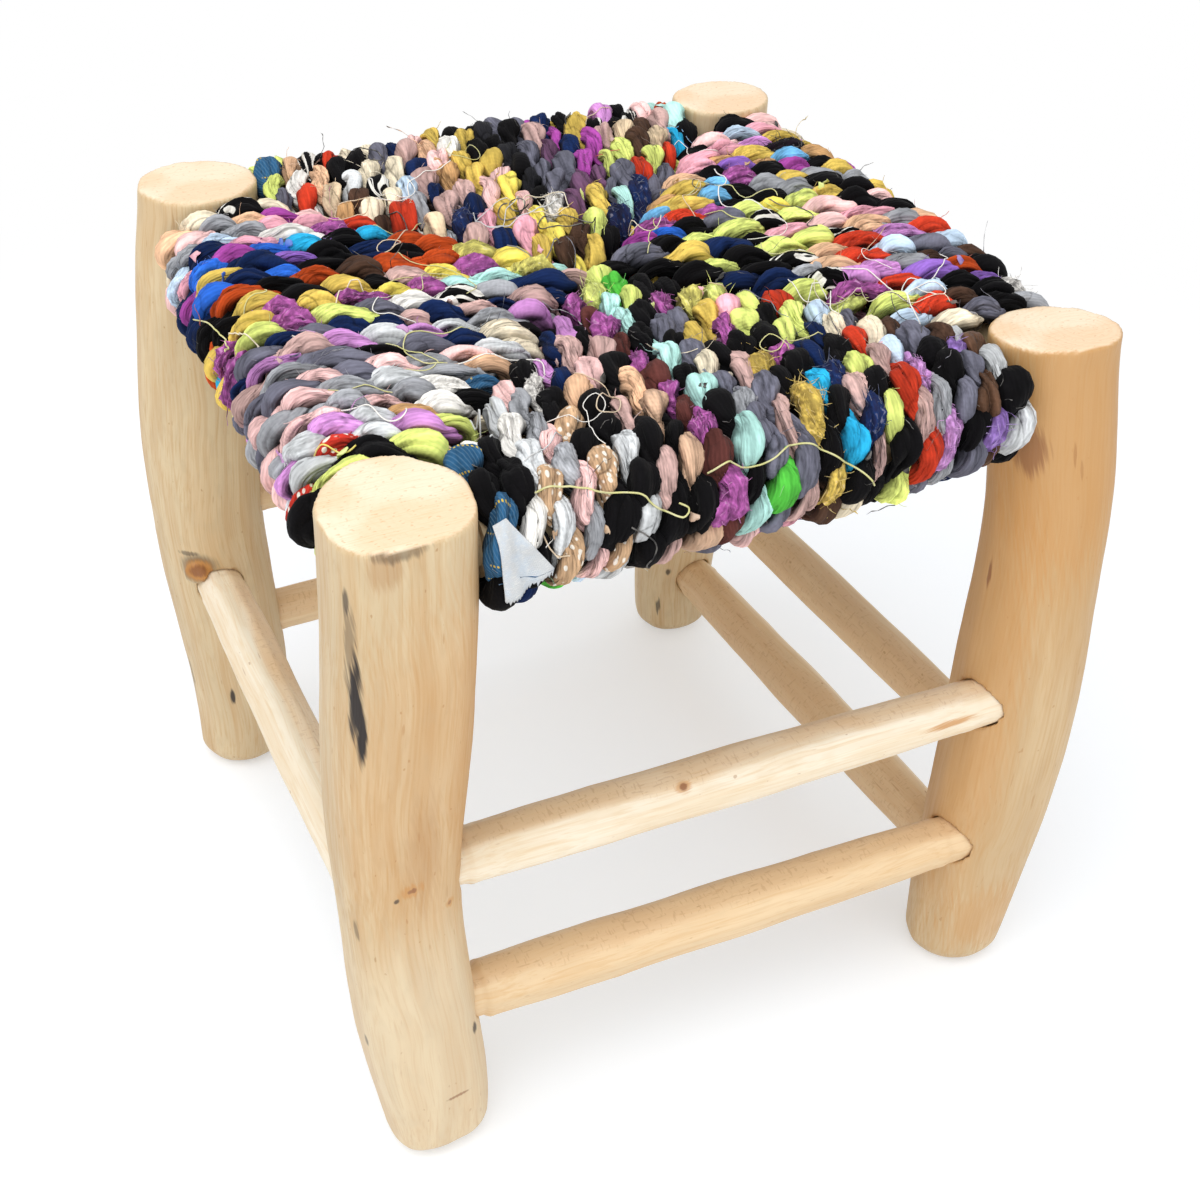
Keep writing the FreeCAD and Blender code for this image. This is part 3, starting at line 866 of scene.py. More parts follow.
def middle_line(points, long_axis):
    """The middle of a bent timber beside each of its points."""
    along = points[:, long_axis]
    edges = np.linspace(along.min(), along.max(), GRAIN_STEPS + 1)
    line = points.copy()
    for axis in {0, 1, 2} - {long_axis}:
        middles = []
        for low, high in zip(edges, edges[1:]):
            held = points[(along >= low) & (along <= high), axis]
            middles.append((held.min() + held.max()) / 2)
        line[:, axis] = np.interp(along, (edges[:-1] + edges[1:]) / 2, middles)
    return line


def dented(grain, seed):
    """How far the dents of a timber rise or fall at each point."""
    drift = Vector((seed * 3.1, seed * 1.7, seed * 0.9))
    return np.array([
        sum(share * noise.noise(Vector((x * across, y * across, z * along)) + drift)
            for across, along, share in DENTS)
        for x, y, z in grain
    ])


def worked_timber(node, name, voxel, long_axis, dents, flats, seed, tooled=None):
    """Finely meshed copy of a solid, worked with the knife, with a vector along its bent grain."""
    fine = fine_copy(node, name, voxel)
    points = points_of(fine)
    normals = np.empty(points.size)
    fine.vertex_normals.foreach_get("vector", normals)
    normals = normals.reshape(-1, 3)
    cross = [axis for axis in range(3) if axis != long_axis]
    along = points[:, long_axis]
    line = middle_line(points, long_axis)
    grain = np.column_stack([points[:, axis] - line[:, axis] for axis in cross] + [along])
    note_points(fine, "grain", "FLOAT_VECTOR", grain)
    level = np.clip((normals[:, 2] - SAWN_LEVEL) / SAWN_BLEND, 0.0, 1.0) * (along > along.max() - SAWN_DEPTH)
    rough = dented(grain, seed)
    kept = knife_flats(grain, *flats, seed)
    if tooled is None:
        note_points(fine, "sawn", "FLOAT", level)
    else:
        # Mask of the rough face, which looks up and inwards; its paint is partly painted shade from the seat
        around = np.arctan2(grain[:, 1], grain[:, 0])
        face = np.cos(around - tooled) + TOOLED_SHADED_RAGGED * rough - TOOLED_SHADED_EDGE
        note_points(fine, "tooled", "FLOAT", np.clip(face / TOOLED_SHADED_BLEND, 0.0, 1.0))
        ends = line[along.argmin()], line[along.argmax()]
        kept = kept * straight_ends(grain, mortise_faces(long_axis, *ends))
    for slot, axis in enumerate(cross):
        points[:, axis] = line[:, axis] + grain[:, slot] * kept
    points += normals * (rough * dents * (1.0 - SAWN_CALM * level))[:, None]
    points[:, 2] = np.maximum(points[:, 2], 0.0)
    fine.vertices.foreach_set("co", points.ravel())
    fine.update()
    return new_object(name, fine)


# Marks of each leg and rung: paint, strength, centre and half size along its grain, raggedness
LEG_MARKS = {
    "front_left": (
        ("warm", 0.3, (0.012, -0.028, 0.25), (0.06, 0.04, 0.12), 0.5),
        ("warm", 0.22, (0.028, -0.01, 0.3), (0.022, 0.04, 0.12), 0.5),
        ("fleck", 0.24, (0.003, -0.029, 0.215), (0.01, 0.01, 0.042), 1.0),
        # Pale wash low on the front of the leg: painted light thrown up from the floor
        ("sawn", 0.28, (0.0, -0.02, 0.07), (0.06, 0.04, 0.11), 0.4),
        ("stain", 0.75, (-0.0275, -0.0206, 0.3548), (0.0014, 0.0022, 0.007), 0.6),
        ("stain", 0.45, (-0.0272, -0.0224, 0.333), (0.0026, 0.0032, 0.023), 1.8),
        ("stain", 1.00, (-0.026, -0.0246, 0.311), (0.003, 0.0037, 0.025), 1.0),
        ("stain", 1.00, (-0.0255, -0.0252, 0.302), (0.0032, 0.0039, 0.014), 0.5),
        ("stain", 1.00, (-0.024, -0.0266, 0.29), (0.0024, 0.0032, 0.017), 0.7),
        ("fleck", 0.4, (-0.014, -0.029, 0.3715), (0.009, 0.006, 0.011), 0.7),
        ("stain", 0.55, (-0.01, -0.031, 0.379), (0.015, 0.006, 0.0055), 0.8),
        ("warm", 0.55, (-0.0023, -0.0286, 0.1943), (0.006, 0.005, 0.005), 1.2),
        ("knot", 0.75, (-0.0018, -0.0286, 0.1943), (0.0026, 0.0034, 0.0018), 0.9),
        ("stain", 0.8, (-0.0093, -0.0284, 0.1909), (0.0014, 0.003, 0.0018), 0.6),
        ("warm", 0.6, (0.0165, -0.0245, 0.1752), (0.0034, 0.0034, 0.0034), 1.2),
        ("knot", 0.6, (0.0165, -0.0245, 0.1752), (0.0016, 0.0024, 0.0014), 0.9),
        ("stain", 0.5, (-0.0253, -0.0187, 0.1705), (0.0015, 0.002, 0.008), 0.8),
        ("stain", 0.6, (-0.0281, -0.0141, 0.0909), (0.0016, 0.002, 0.0045), 0.8),
        ("stain", 0.85, (0.0224, -0.0217, 0.0824), (0.002, 0.0025, 0.0045), 0.6),
        ("knot", 0.7, (0.0066, -0.0277, 0.0455), (0.0075, 0.003, 0.0012), 1.0),
    ),
    "front_right": (
        ("pale_streak", 0.4, (0.0, 0.0, 0.23), (0.2, 0.2, 0.26), 0.3),
        ("pale_streak", 0.45, (-0.01, -0.01, 0.32), (0.1, 0.1, 0.13), 0.4),
        ("warm", 0.45, (-0.005, -0.02, 0.335), (0.05, 0.045, 0.09), 0.8),
        ("warm", 0.4, (-0.032, 0.004, 0.2), (0.024, 0.05, 0.2), 0.5),
        ("knot", 0.7, (-0.0244, -0.0158, 0.332), (0.009, 0.01, 0.014), 0.9),
        ("fleck", 0.6, (-0.0074, -0.0267, 0.332), (0.001, 0.0045, 0.008), 0.9),
        ("fleck", 0.5, (-0.0036, -0.0275, 0.3239), (0.001, 0.0045, 0.006), 0.9),
        ("knot", 0.8, (-0.0301, -0.001, 0.259), (0.005, 0.0013, 0.009), 1.2),
        ("warm", 0.3, (0.0, -0.02, 0.04), (0.03, 0.03, 0.03), 1.2),
    ),
    "back_left": (
        ("stain", 0.75, (-0.0166, -0.0267, 0.1608), (0.013, 0.013, 0.0105), 0.3),
        ("warm", 0.9, (-0.0166, -0.0267, 0.16), (0.01, 0.01, 0.008), 0.4),
        ("knot", 0.85, (-0.017, -0.0267, 0.1602), (0.006, 0.006, 0.0048), 0.6),
        ("stain", 0.6, (-0.0205, -0.023, 0.17), (0.007, 0.007, 0.002), 0.8),
        ("stain", 0.95, (-0.0114, -0.0244, 0.0615), (0.0016, 0.004, 0.0065), 0.7),
        ("stain", 0.5, (-0.0287, -0.0015, 0.0695), (0.004, 0.002, 0.018), 1.3),
    ),
    "back_right": (
        ("stain", 0.85, (-0.0173, -0.0214, 0.0575), (0.002, 0.003, 0.0034), 0.7),
        ("stain", 0.75, (-0.0199, -0.0173, 0.0275), (0.0016, 0.0022, 0.008), 1.3),
    ),
}
# How strongly the growth rings show on each sawn end
LEG_RINGS = {"front_left": 0.07, "front_right": 0.16, "back_left": 0.03, "back_right": 0.1}
RUNG_MARKS = {
    "front_upper": (
        ("warm", 0.6, (-0.0088, 0.0115, -0.0316), (0.0042, 0.0042, 0.0046), 0.9),
        ("knot", 0.85, (-0.0088, 0.0115, -0.0316), (0.0022, 0.0022, 0.0022), 0.7),
        ("warm", 0.8, (-0.0141, 0.0043, 0.1117), (0.005, 0.0022, 0.016), 1.2),
    ),
}

# Which way the rough face of each rung looks, round its length, and its main colour. The rough faces look up
# and inwards under the seat, so their darker paint is partly painted shade
RUNG_FACES = {
    "front_upper": (1.15, "rung"), "front_lower": (1.2, "ruddy"), "right_upper": (2.5, "ruddy"),
    "right_lower": (2.5, "ruddy"), "back_upper": (1.9, "ruddy"), "back_lower": (1.9, "ruddy"),
    "left": (0.5, "rung"),
}


class STOOL_OT_legs(Operator):
    """Make the four peeled legs"""

    bl_idname = "stool.legs"
    bl_label = "Legs"

    def execute(self, context):
        finish = context.scene.stool_wood
        for seed, corner in enumerate(CORNERS):
            node = "leg_" + corner
            leg = worked_timber(
                node, "peeled_" + node, finish.leg_voxel, 2, finish.leg_dents,
                (9, finish.leg_flats), seed + 1,
            )
            marks, rings = LEG_MARKS[corner], LEG_RINGS[corner]
            leg.data.materials.append(timber_material(node + "_wood", finish, seed * 0.7, marks, rings))
            finish_piece(leg, "leg_wood", node)
        return {"FINISHED"}


class STOOL_OT_rungs(Operator):
    """Make the hewn rungs"""

    bl_idname = "stool.rungs"
    bl_label = "Rungs"

    def execute(self, context):
        finish = context.scene.stool_wood
        for seed, place in enumerate(RUNGS):
            node = "rung_" + place
            long_axis = 0 if place.startswith(("front", "back")) else 1
            tooled, pale = RUNG_FACES[place]
            rung = worked_timber(
                node, "hewn_" + node, finish.rung_voxel, long_axis, finish.rung_dents,
                (7, finish.rung_flats), seed + 11, tooled,
            )
            marks = RUNG_MARKS.get(place, ())
            wood = timber_material(node + "_wood", finish, 3.0 + seed * 0.6, marks, None, pale)
            rung.data.materials.append(wood)
            finish_piece(rung, "rung_wood", node)
        return {"FINISHED"}


class STOOL_OT_rails(Operator):
    """Finish the seat rails inside the weave"""

    bl_idname = "stool.rails"
    bl_label = "Seat rails"

    def execute(self, context):
        finish = context.scene.stool_wood
        for seed, side in enumerate(SIDES):
            rail = frame["nodes"]["seat_rail_" + side]
            material, net, shader = new_material("rail_wood_" + side)
            place = net.node("ShaderNodeTexCoord").outputs["Object"]
            turn = (0.0, math.pi / 2, 0.0) if side in ("front", "back") else (math.pi / 2, 0.0, 0.0)
            turned = net.node("ShaderNodeMapping", {"Vector": place, "Rotation": turn}).outputs[0]
            wood = grain_nodes(net, turned, finish, 9.0 + seed)
            paint_shader(net, shader, wood["Color"], wood["Roughness"])
            rail.data.materials.clear()
            rail.data.materials.append(material)
        return {"FINISHED"}


# Rope

def solids_of(node):
    """Points of each separate solid of a node."""
    mesh = frame["nodes"][node].data
    mesh.calc_loop_triangles()
    corners = np.empty(len(mesh.loop_triangles) * 3, dtype=np.int64)
    mesh.loop_triangles.foreach_get("vertices", corners)
    grid = np.round(points_of(mesh) / MERGE_GAP).astype(np.int64)
    spots, merged = np.unique(grid, axis=0, return_inverse=True)
    faces = merged.ravel()[corners].reshape(-1, 3)
    group = np.arange(len(spots))
    while True:
        before = group.copy()
        least = group[faces].min(axis=1)
        for corner in range(3):
            np.minimum.at(group, faces[:, corner], least)
        group = group[group]
        if np.array_equal(before, group):
            break
    return [spots[group == label] * MERGE_GAP for label in np.unique(group)]


def bar_of(points):
    """Middle, direction and extents of a long solid, seen from above."""
    flat = points[:, :2]
    middle = flat.mean(axis=0)
    direction = np.linalg.svd(flat - middle, full_matrices=False)[2][0]
    if direction @ middle > 0:
        direction = -direction
    across = np.array((-direction[1], direction[0]))
    runs = (flat - middle) @ direction
    widths = (flat - middle) @ across
    middle = middle + across * (widths.min() + widths.max()) / 2
    return middle, direction, across, (runs.min(), runs.max()), (widths.max() - widths.min()) / 2


def cord_passes(side):
    """Each pass of rope over one rail, in order along it, as its solid in the frame gives it."""
    found = []
    for points in solids_of("seat_cords_" + side):
        middle, inward, across, (outer, inner), radius = bar_of(points)
        low, high = points[:, 2].min(), points[:, 2].max()
        wrap_out = (high - low) / 2
        on_rail = middle + inward * (outer + wrap_out)
        found.append({
            "on_rail": Vector((*on_rail, (low + high) / 2)),
            "inward": Vector((*inward, 0.0)),
            "across": Vector((*across, 0.0)),
            "run": inner - radius - outer - wrap_out,
            "wrap": wrap_out - radius,
            "dive": 2 * radius,
        })
    axis = 0 if side in ("front", "back") else 1
    return sorted(found, key=lambda cord: cord["on_rail"][axis])


def arc(inwards, height, radius, start, sweep, steps):
    """Places on an arc of a pass: how far inwards, how high and the way out."""
    turns = [start + sweep * step / steps for step in range(steps + 1)]
    return [(inwards + radius * math.cos(turn), height + radius * math.sin(turn), turn) for turn in turns]


def pass_line(cord, rope, along_rail, chance):
    """Points of a pass and the way out at each, in order from the top middle."""
    bulge = rope.crown * (math.sin(math.pi * along_rail) - CROWN_LEVEL)
    wrap = cord["wrap"] + bulge + chance.uniform(-WRAP_JITTER, WRAP_JITTER)
    dive = cord["dive"]
    run = cord["run"] + rope.reach + chance.uniform(-rope.scatter, rope.scatter)
    straight = max(run - dive, SHORTEST_RUN)
    square = math.pi / 2
    steps = max(int(straight / WIRE_STEP), 2)
    spots = arc(straight, wrap - dive, dive, 0.0, square, DIVE_STEPS)
    spots += [(straight * (1 - step / steps), wrap, square) for step in range(1, steps)]
    spots += arc(0.0, 0.0, wrap, square, math.pi, WRAP_STEPS)
    spots += [(straight * step / steps, -wrap, -square) for step in range(1, steps)]
    spots += arc(straight, dive - wrap, dive, -square, square, DIVE_STEPS)
    points, ways = [], []
    for inwards, height, turn in spots:
        if height > 0:
            depth = min(max(inwards / SAG_REACH, 0.0), 1.0)
            height -= rope.sag * depth * depth * (3 - 2 * depth)
        points.append(cord["on_rail"] + cord["inward"] * inwards + UP * height)
        ways.append(cord["inward"] * math.cos(turn) + UP * math.sin(turn))
    return points, ways


def lay_rope(name, lines):
    """Wire mesh of rope lines with what the rope tree reads at each point."""
    wire = bpy.data.meshes.new(name)
    kinds = {
        "outward": "FLOAT_VECTOR", "across": "FLOAT_VECTOR", "along": "FLOAT", "cord": "FLOAT",
        "girth": "FLOAT", "rag_a": "FLOAT_COLOR", "rag_b": "FLOAT_COLOR", "kind_a": "FLOAT",
        "kind_b": "FLOAT",
    }
    spots, links = [], []
    values = {key: [] for key in kinds}
    for line in lines:
        first, count = len(spots), len(line["points"])
        spots += line["points"]
        links += [(at, at + 1) for at in range(first, first + count - 1)]
        values["outward"] += line["ways"]
        values["along"] += line["walked"]
        for key in ("across", "cord", "girth"):
            values[key] += [line[key]] * count
        for ply in "ab":
            values["rag_" + ply] += [(*rags[ply][0], 1.0) for rags in line["rags"]]
            values["kind_" + ply] += [rags[ply][1] for rags in line["rags"]]
    wire.from_pydata(spots, links, [])
    for key, kind in kinds.items():
        note_points(wire, key, kind, values[key])
    return new_object(name, wire)


def fold_lines(net, cloth):
    """How far each place of the cloth lies from the nearest small fold and from the nearest broad one."""
    listed = []
    for around, along, detail in ((150.0, 62.0, 1.0), (92.0, 44.0, 0.0)):
        line = net.stretched(cloth, (around, around, along), detail)
        listed.append(net.math("ABSOLUTE", net.minus(line, 0.5)))
    return listed


def rope_tree():
    """Two plies of crumpled rag, twisted together along each wire."""
    tree, net, given, output = geometry_tree("rag rope", {
        "Ply Radius": "Float", "Lay": "Float", "Swing Out": "Float", "Swing Side": "Float", "Step": "Float",
        "Sides": "Int", "Pleat": "Float", "Lump": "Float", "Cloth": "Material",
    })
    wires = net.node("GeometryNodeMeshToCurve", {0: given["Geometry"]}).outputs[0]
    rings = {"Curve": wires, "Length": given["Step"]}
    wires = net.node("GeometryNodeResampleCurve", rings, mode="LENGTH").outputs[0]
    along = net.stored("along", "FLOAT")
    cord = net.stored("cord", "FLOAT")
    outward = net.vector("NORMALIZE", net.stored("outward", "FLOAT_VECTOR"))
    across = net.stored("across", "FLOAT_VECTOR")
    drift = net.combine(net.times(along, 26.0), net.times(cord, 7.3), 0.0)
    loose = net.minus(net.noise(drift, 1.0, 1.0), 0.5)
    turn = net.times(net.math("DIVIDE", along, given["Lay"]), math.tau)
    turn = net.plus(turn, net.times(loose, LOOSE_TWIST))
    stray = net.combine(net.times(along, 32.0), net.times(cord, 3.7), 5.0)
    stray = net.parts(net.shifts(stray, 1.0, 1.0))
    stray = net.vector(
        "ADD", net.scaled(across, net.times(stray[0], STRAY_SIDE)),
        net.scaled(outward, net.times(stray[1], STRAY_OUT)),
    )

    ring = {"Resolution": given["Sides"], "Radius": 1.0}
    profile = net.node("GeometryNodeCurvePrimitiveCircle", ring, mode="RADIUS")
    share = net.node("GeometryNodeSplineParameter").outputs["Factor"]
    profile = net.store(profile.outputs["Curve"], "around", "FLOAT", share)

    plies = net.node("GeometryNodeJoinGeometry")
    for ply, mate, lead in (("a", "b", 0.0), ("b", "a", math.pi)):
        angle = net.plus(turn, lead)
        out = net.times(net.math("COSINE", angle), given["Swing Out"])
        out = net.larger(out, net.times(out, INNER_SWING))
        side = net.times(net.math("SINE", angle), given["Swing Side"])
        offset = net.vector("ADD", net.scaled(outward, out), net.scaled(across, side))
        offset = net.vector("ADD", offset, stray)
        line = net.moved(wires, offset)
        swell = net.combine(net.times(along, 50.0), net.times(cord, 5.1), lead * 3.0)
        girth = net.ramp(net.noise(swell, 1.0, 1.0), 0.25, 0.75, 0.60, 1.32)
        plump = net.times_plus(net.math("COSINE", angle), OUTER_PLUMP, 1.0)
        girth = net.times(girth, net.stored("girth", "FLOAT"), plump, given["Ply Radius"])
        line = net.store(line, "rag", "FLOAT_COLOR", net.stored("rag_" + ply, "FLOAT_COLOR"))
        line = net.store(line, "mate", "FLOAT_COLOR", net.stored("rag_" + mate, "FLOAT_COLOR"))
        line = net.store(line, "kind", "FLOAT", net.stored("kind_" + ply, "FLOAT"))
        line = net.store(line, "strand", "FLOAT", net.plus(net.times(cord, 2.0), lead))
        tube = {"Curve": line, "Profile Curve": profile, "Scale": girth, "Fill Caps": True}
        net.put(plies.inputs[0], net.node("GeometryNodeCurveToMesh", tube).outputs[0])

    angle = net.times(net.stored("around", "FLOAT"), math.tau)
    angle = net.times_plus(net.stored("along", "FLOAT"), 75.0, angle)
    wide = given["Ply Radius"]
    cloth = net.combine(
        net.times(net.math("COSINE", angle), wide),
        net.times(net.math("SINE", angle), wide),
        net.times_plus(net.stored("strand", "FLOAT"), 0.713, net.stored("along", "FLOAT")),
    )
    rope = net.store(plies.outputs[0], "cloth", "FLOAT_VECTOR", cloth)
    cloth = net.stored("cloth", "FLOAT_VECTOR")
    kind = net.stored("kind", "FLOAT")
    small, broad = fold_lines(net, cloth)
    billow = net.math("POWER", net.ramp(small, 0.0, 0.20), 0.5)
    billow = net.times_plus(net.math("POWER", net.ramp(broad, 0.0, 0.16), 0.5), 1.3, billow)
    lumps = net.stretched(cloth, (130.0, 130.0, 85.0), 2.0)
    lumps = net.minus(lumps, 0.5)
    fuzzy = net.is_kind(kind, FUZZY)
    frayed = net.is_kind(kind, FRAYED)
    curly = net.minus(net.noise(cloth, 390.0, 2.0), 0.5)
    rise = net.times(lumps, net.times(given["Lump"], 2.0))
    normal = net.node("GeometryNodeInputNormal").outputs[0]
    outward = net.vector("NORMALIZE", net.stored("outward", "FLOAT_VECTOR"))
    facing = net.vector("DOT_PRODUCT", normal, outward)
    pleat = net.times(given["Pleat"], net.ramp(facing, -0.2, 0.4, 0.3, 0.62))
    rise = net.times_plus(net.minus(billow, 1.55), pleat, rise)
    shaggy = net.times(net.larger(fuzzy, net.times(frayed, 0.5)), SHAG)
    rise = net.times_plus(curly, shaggy, rise)
    rope = net.store(rope, "facing", "FLOAT", facing)
    rope = net.smooth(net.moved(rope, net.scaled(normal, rise)))
    net.put(output.inputs[0], net.dressed(rope, given["Cloth"]))
    return tree


def rag_cloth_material():
    """Cloth of the rags by kind: knit, woven or heather jersey, fuzz, dots, prints, satin and denim, with
    painted shade and light that follow its relief.
    """
    material, net, shader = new_material("rag_cloth")
    rag = net.attribute("rag").outputs["Color"]
    kind = net.attribute("kind").outputs["Fac"]
    facing = net.attribute("facing").outputs["Fac"]
    cloth = net.attribute("cloth").outputs["Vector"]
    is_kind = {which: net.is_kind(kind, which) for which in range(DENIM + 1)}
    parts = net.parts(cloth)
    angle = net.math("ARCTAN2", parts[1], parts[0])
    lot = net.noise(net.combine(0.0, 0.0, net.times(parts[2], 9.0)), 1.0, 0.0)
    ribbed = net.ramp(lot, 0.44, 0.54)
    heather = net.ramp(net.noise(net.combine(4.0, 0.0, parts[2]), 11.0, 0.0), 0.5, 0.6)
    sway = net.times(net.noise(cloth, 160.0, 1.0), 6.0)
    ribs = net.math("SINE", net.times_plus(angle, 23.0, sway))
    ribs = net.times_plus(ribs, 0.5, 0.5)
    weft = net.math("SINE", net.times_plus(parts[2], 5200.0, sway))
    weft = net.times_plus(weft, 0.5, 0.5)
    yarn = net.stretched(cloth, (1000.0, 1000.0, 420.0), 2.0)
    tone = net.stretched(cloth, (120.0, 120.0, 30.0), 2.0)
    # Painted shade in the grooves between knit ribs, where the rib bump is low
    rib_groove_shade = net.times(net.minus(1.0, ribs), net.times(ribbed, 0.14))
    woven = net.times(weft, net.minus(1.0, ribbed))
    speckle = net.times(net.minus(yarn, 0.5), net.ramp(heather, 0.0, 1.0, 0.75, 1.7))
    small, broad = fold_lines(net, cloth)
    # Painted shade: dark lines along the valleys of the small and broad folds, calmer in places
    crease_shade = net.larger(net.ramp(small, 0.0, 0.022, 0.65, 0.0), net.ramp(broad, 0.0, 0.022, 1.0, 0.0))
    calm = net.noise(net.combine(9.0, 0.0, parts[2]), 38.0, 0.0)
    crease_shade = net.times(crease_shade, net.ramp(calm, 0.38, 0.62, 0.25, 1.0))
    shade = net.times(
        net.ramp(tone, 0.3, 0.7, 0.82, 1.12),
        net.minus(1.02, rib_groove_shade),
        # painted light on the raised weft, where the weave's bump is high
        net.times_plus(woven, 0.06, 0.97),
        net.plus(speckle, 1.0),
        net.ramp(crease_shade, 0.0, 1.0, 1.0, 0.50),
        # painted shade in the small fold valleys and painted light on the folds' crests
        net.ramp(small, 0.0, 0.16, 0.82, 1.12),
        # painted shade on the sides of the plies that turn into the gaps between them, painted light on
        # their crests
        net.ramp(facing, -0.25, 0.72, 0.18, 1.12),
    )
    paint = net.mix(1.0, rag, net.combine(shade, shade, shade), "MULTIPLY")
    spots = net.node("ShaderNodeTexVoronoi", {"Vector": cloth, "Scale": 380.0, "Randomness": 0.75})
    dots = net.times(net.ramp(spots.outputs["Distance"], 0.36, 0.26), is_kind[DOTTED])
    paint = net.mix(dots, paint, (0.90, 0.84, 0.74, 1.0))
    curls = net.node("ShaderNodeTexWave", {"Vector": cloth, "Scale": 95.0, "Distortion": 9.0, "Detail": 1.0})
    print_mask = net.times(net.ramp(curls.outputs["Fac"], 0.72, 0.80), is_kind[PRINTED])
    paint = net.mix(print_mask, paint, (0.82, 0.80, 0.74, 1.0))
    twill = net.math("SINE", net.times_plus(parts[2], 3300.0, net.times(angle, 21.0)))
    twill = net.times(net.ramp(twill, 0.3, 0.9, 0.0, 0.14), is_kind[DENIM])
    paint = net.mix(twill, paint, (0.28, 0.45, 0.58, 1.0))
    rows = net.math("SINE", net.times_plus(parts[2], 980.0, net.times(sway, 0.12)))
    dashes = net.ramp(net.math("SINE", net.times(angle, 26.0)), -0.2, 0.2)
    broken = net.ramp(net.noise(cloth, 150.0, 0.0), 0.46, 0.54)
    stitch = net.times(net.ramp(rows, 0.93, 0.985), dashes, broken, is_kind[DENIM])
    paint = net.mix(stitch, paint, (0.70, 0.50, 0.06, 1.0))
    # Painted light and shade on fuzzy and frayed cloth: paler on the raised tips of its bump, near black in
    # its hollows
    curly = net.noise(cloth, 480.0, 3.0)
    shaggy = net.larger(is_kind[FUZZY], is_kind[FRAYED])
    fuzz_light_and_shade = net.times(net.ramp(curly, 0.35, 0.75, -0.55, 0.22), shaggy)
    paint = net.mix(net.larger(fuzz_light_and_shade, 0.0), paint, (0.95, 0.85, 0.95, 1.0))
    fuzz_hollow_shade = net.larger(net.times(fuzz_light_and_shade, -1.0), 0.0)
    paint = net.mix(fuzz_hollow_shade, paint, (0.02, 0.01, 0.02, 1.0))
    shader.inputs["Sheen Weight"].default_value = 0.02
    shader.inputs["Sheen Roughness"].default_value = 0.5
    shader.inputs["Specular IOR Level"].default_value = 0.08
    knit = net.times(ribs, net.times(ribbed, 0.4))
    height = net.times_plus(yarn, 0.9, net.times_plus(woven, 0.25, knit))
    height = net.times_plus(net.times(curly, shaggy), 3.0, height)
    rolls = net.math("POWER", net.ramp(small, 0.0, 0.18), 0.6)
    rolls = net.times_plus(net.math("POWER", net.ramp(broad, 0.0, 0.15), 0.6), 1.3, rolls)
    folded = net.node("ShaderNodeBump", {"Height": rolls, "Strength": 0.75, "Distance": 0.0016})
    bump = {"Height": height, "Strength": 0.7, "Distance": 0.0005, "Normal": folded.outputs[0]}
    bump = net.node("ShaderNodeBump", bump)
    paint_shader(net, shader, paint, net.ramp(is_kind[SATIN], 0.0, 1.0, 0.86, 0.36), bump)
    return material


def rag_of(palette, name):
    """Colour and cloth of a rag."""
    return tuple(getattr(palette, name)), float(RAGS[name][1])


def walked_along(points, phase, twist):
    """How far along the rope's twist each point of a pass lies."""
    steps = [(after - before).length * twist for before, after in zip(points, points[1:])]
    return list(accumulate(steps, initial=phase))


def pass_rags(pattern, under, points, walked, lay, cord, palette, chance):
    """Rag of each ply at each point of a pass. It changes where the ply goes under the other one."""
    face, faced, top = pattern.rpartition("<")
    pairs = [pair.split("/") for pair in top.split(">")]
    share = cord["run"] / len(pairs)
    changes = [share * (at + chance.uniform(*RAG_LENGTHS)) for at in range(len(pairs) - 1)]
    if faced:
        pairs.insert(0, face.split("/"))
        changes.insert(0, -FACE_SHARE * cord["wrap"])
    below = under.rpartition("<")[2].split(">")[-1].split("/")
    inwards = [(point - cord["on_rail"]).dot(cord["inward"]) for point in points]
    heights = [(point - cord["on_rail"]).z for point in points]
    listed = []
    for at in walked:
        rags = {}
        for first, (ply, lead) in enumerate((("a", 0.0), ("b", 0.5))):
            crest = (round(at / lay - lead) + lead) * lay
            middle = min(bisect(walked, crest), len(points) - 1)
            pair = pairs[sum(inwards[middle] > change for change in changes)]
            if heights[middle] < -UNDER_SHARE * cord["wrap"]:
                pair = below
            rags[ply] = rag_of(palette, pair[first])
        listed.append(rags)
    return listed


def rope_values(rope, cloth):
    """Inputs of the rope tree."""
    return {
        "Ply Radius": rope.ply_radius, "Lay": rope.lay, "Swing Out": rope.swing_out,
        "Swing Side": rope.swing_side, "Step": rope.step, "Sides": rope.sides, "Pleat": rope.pleat,
        "Lump": rope.lump, "Cloth": cloth,
    }


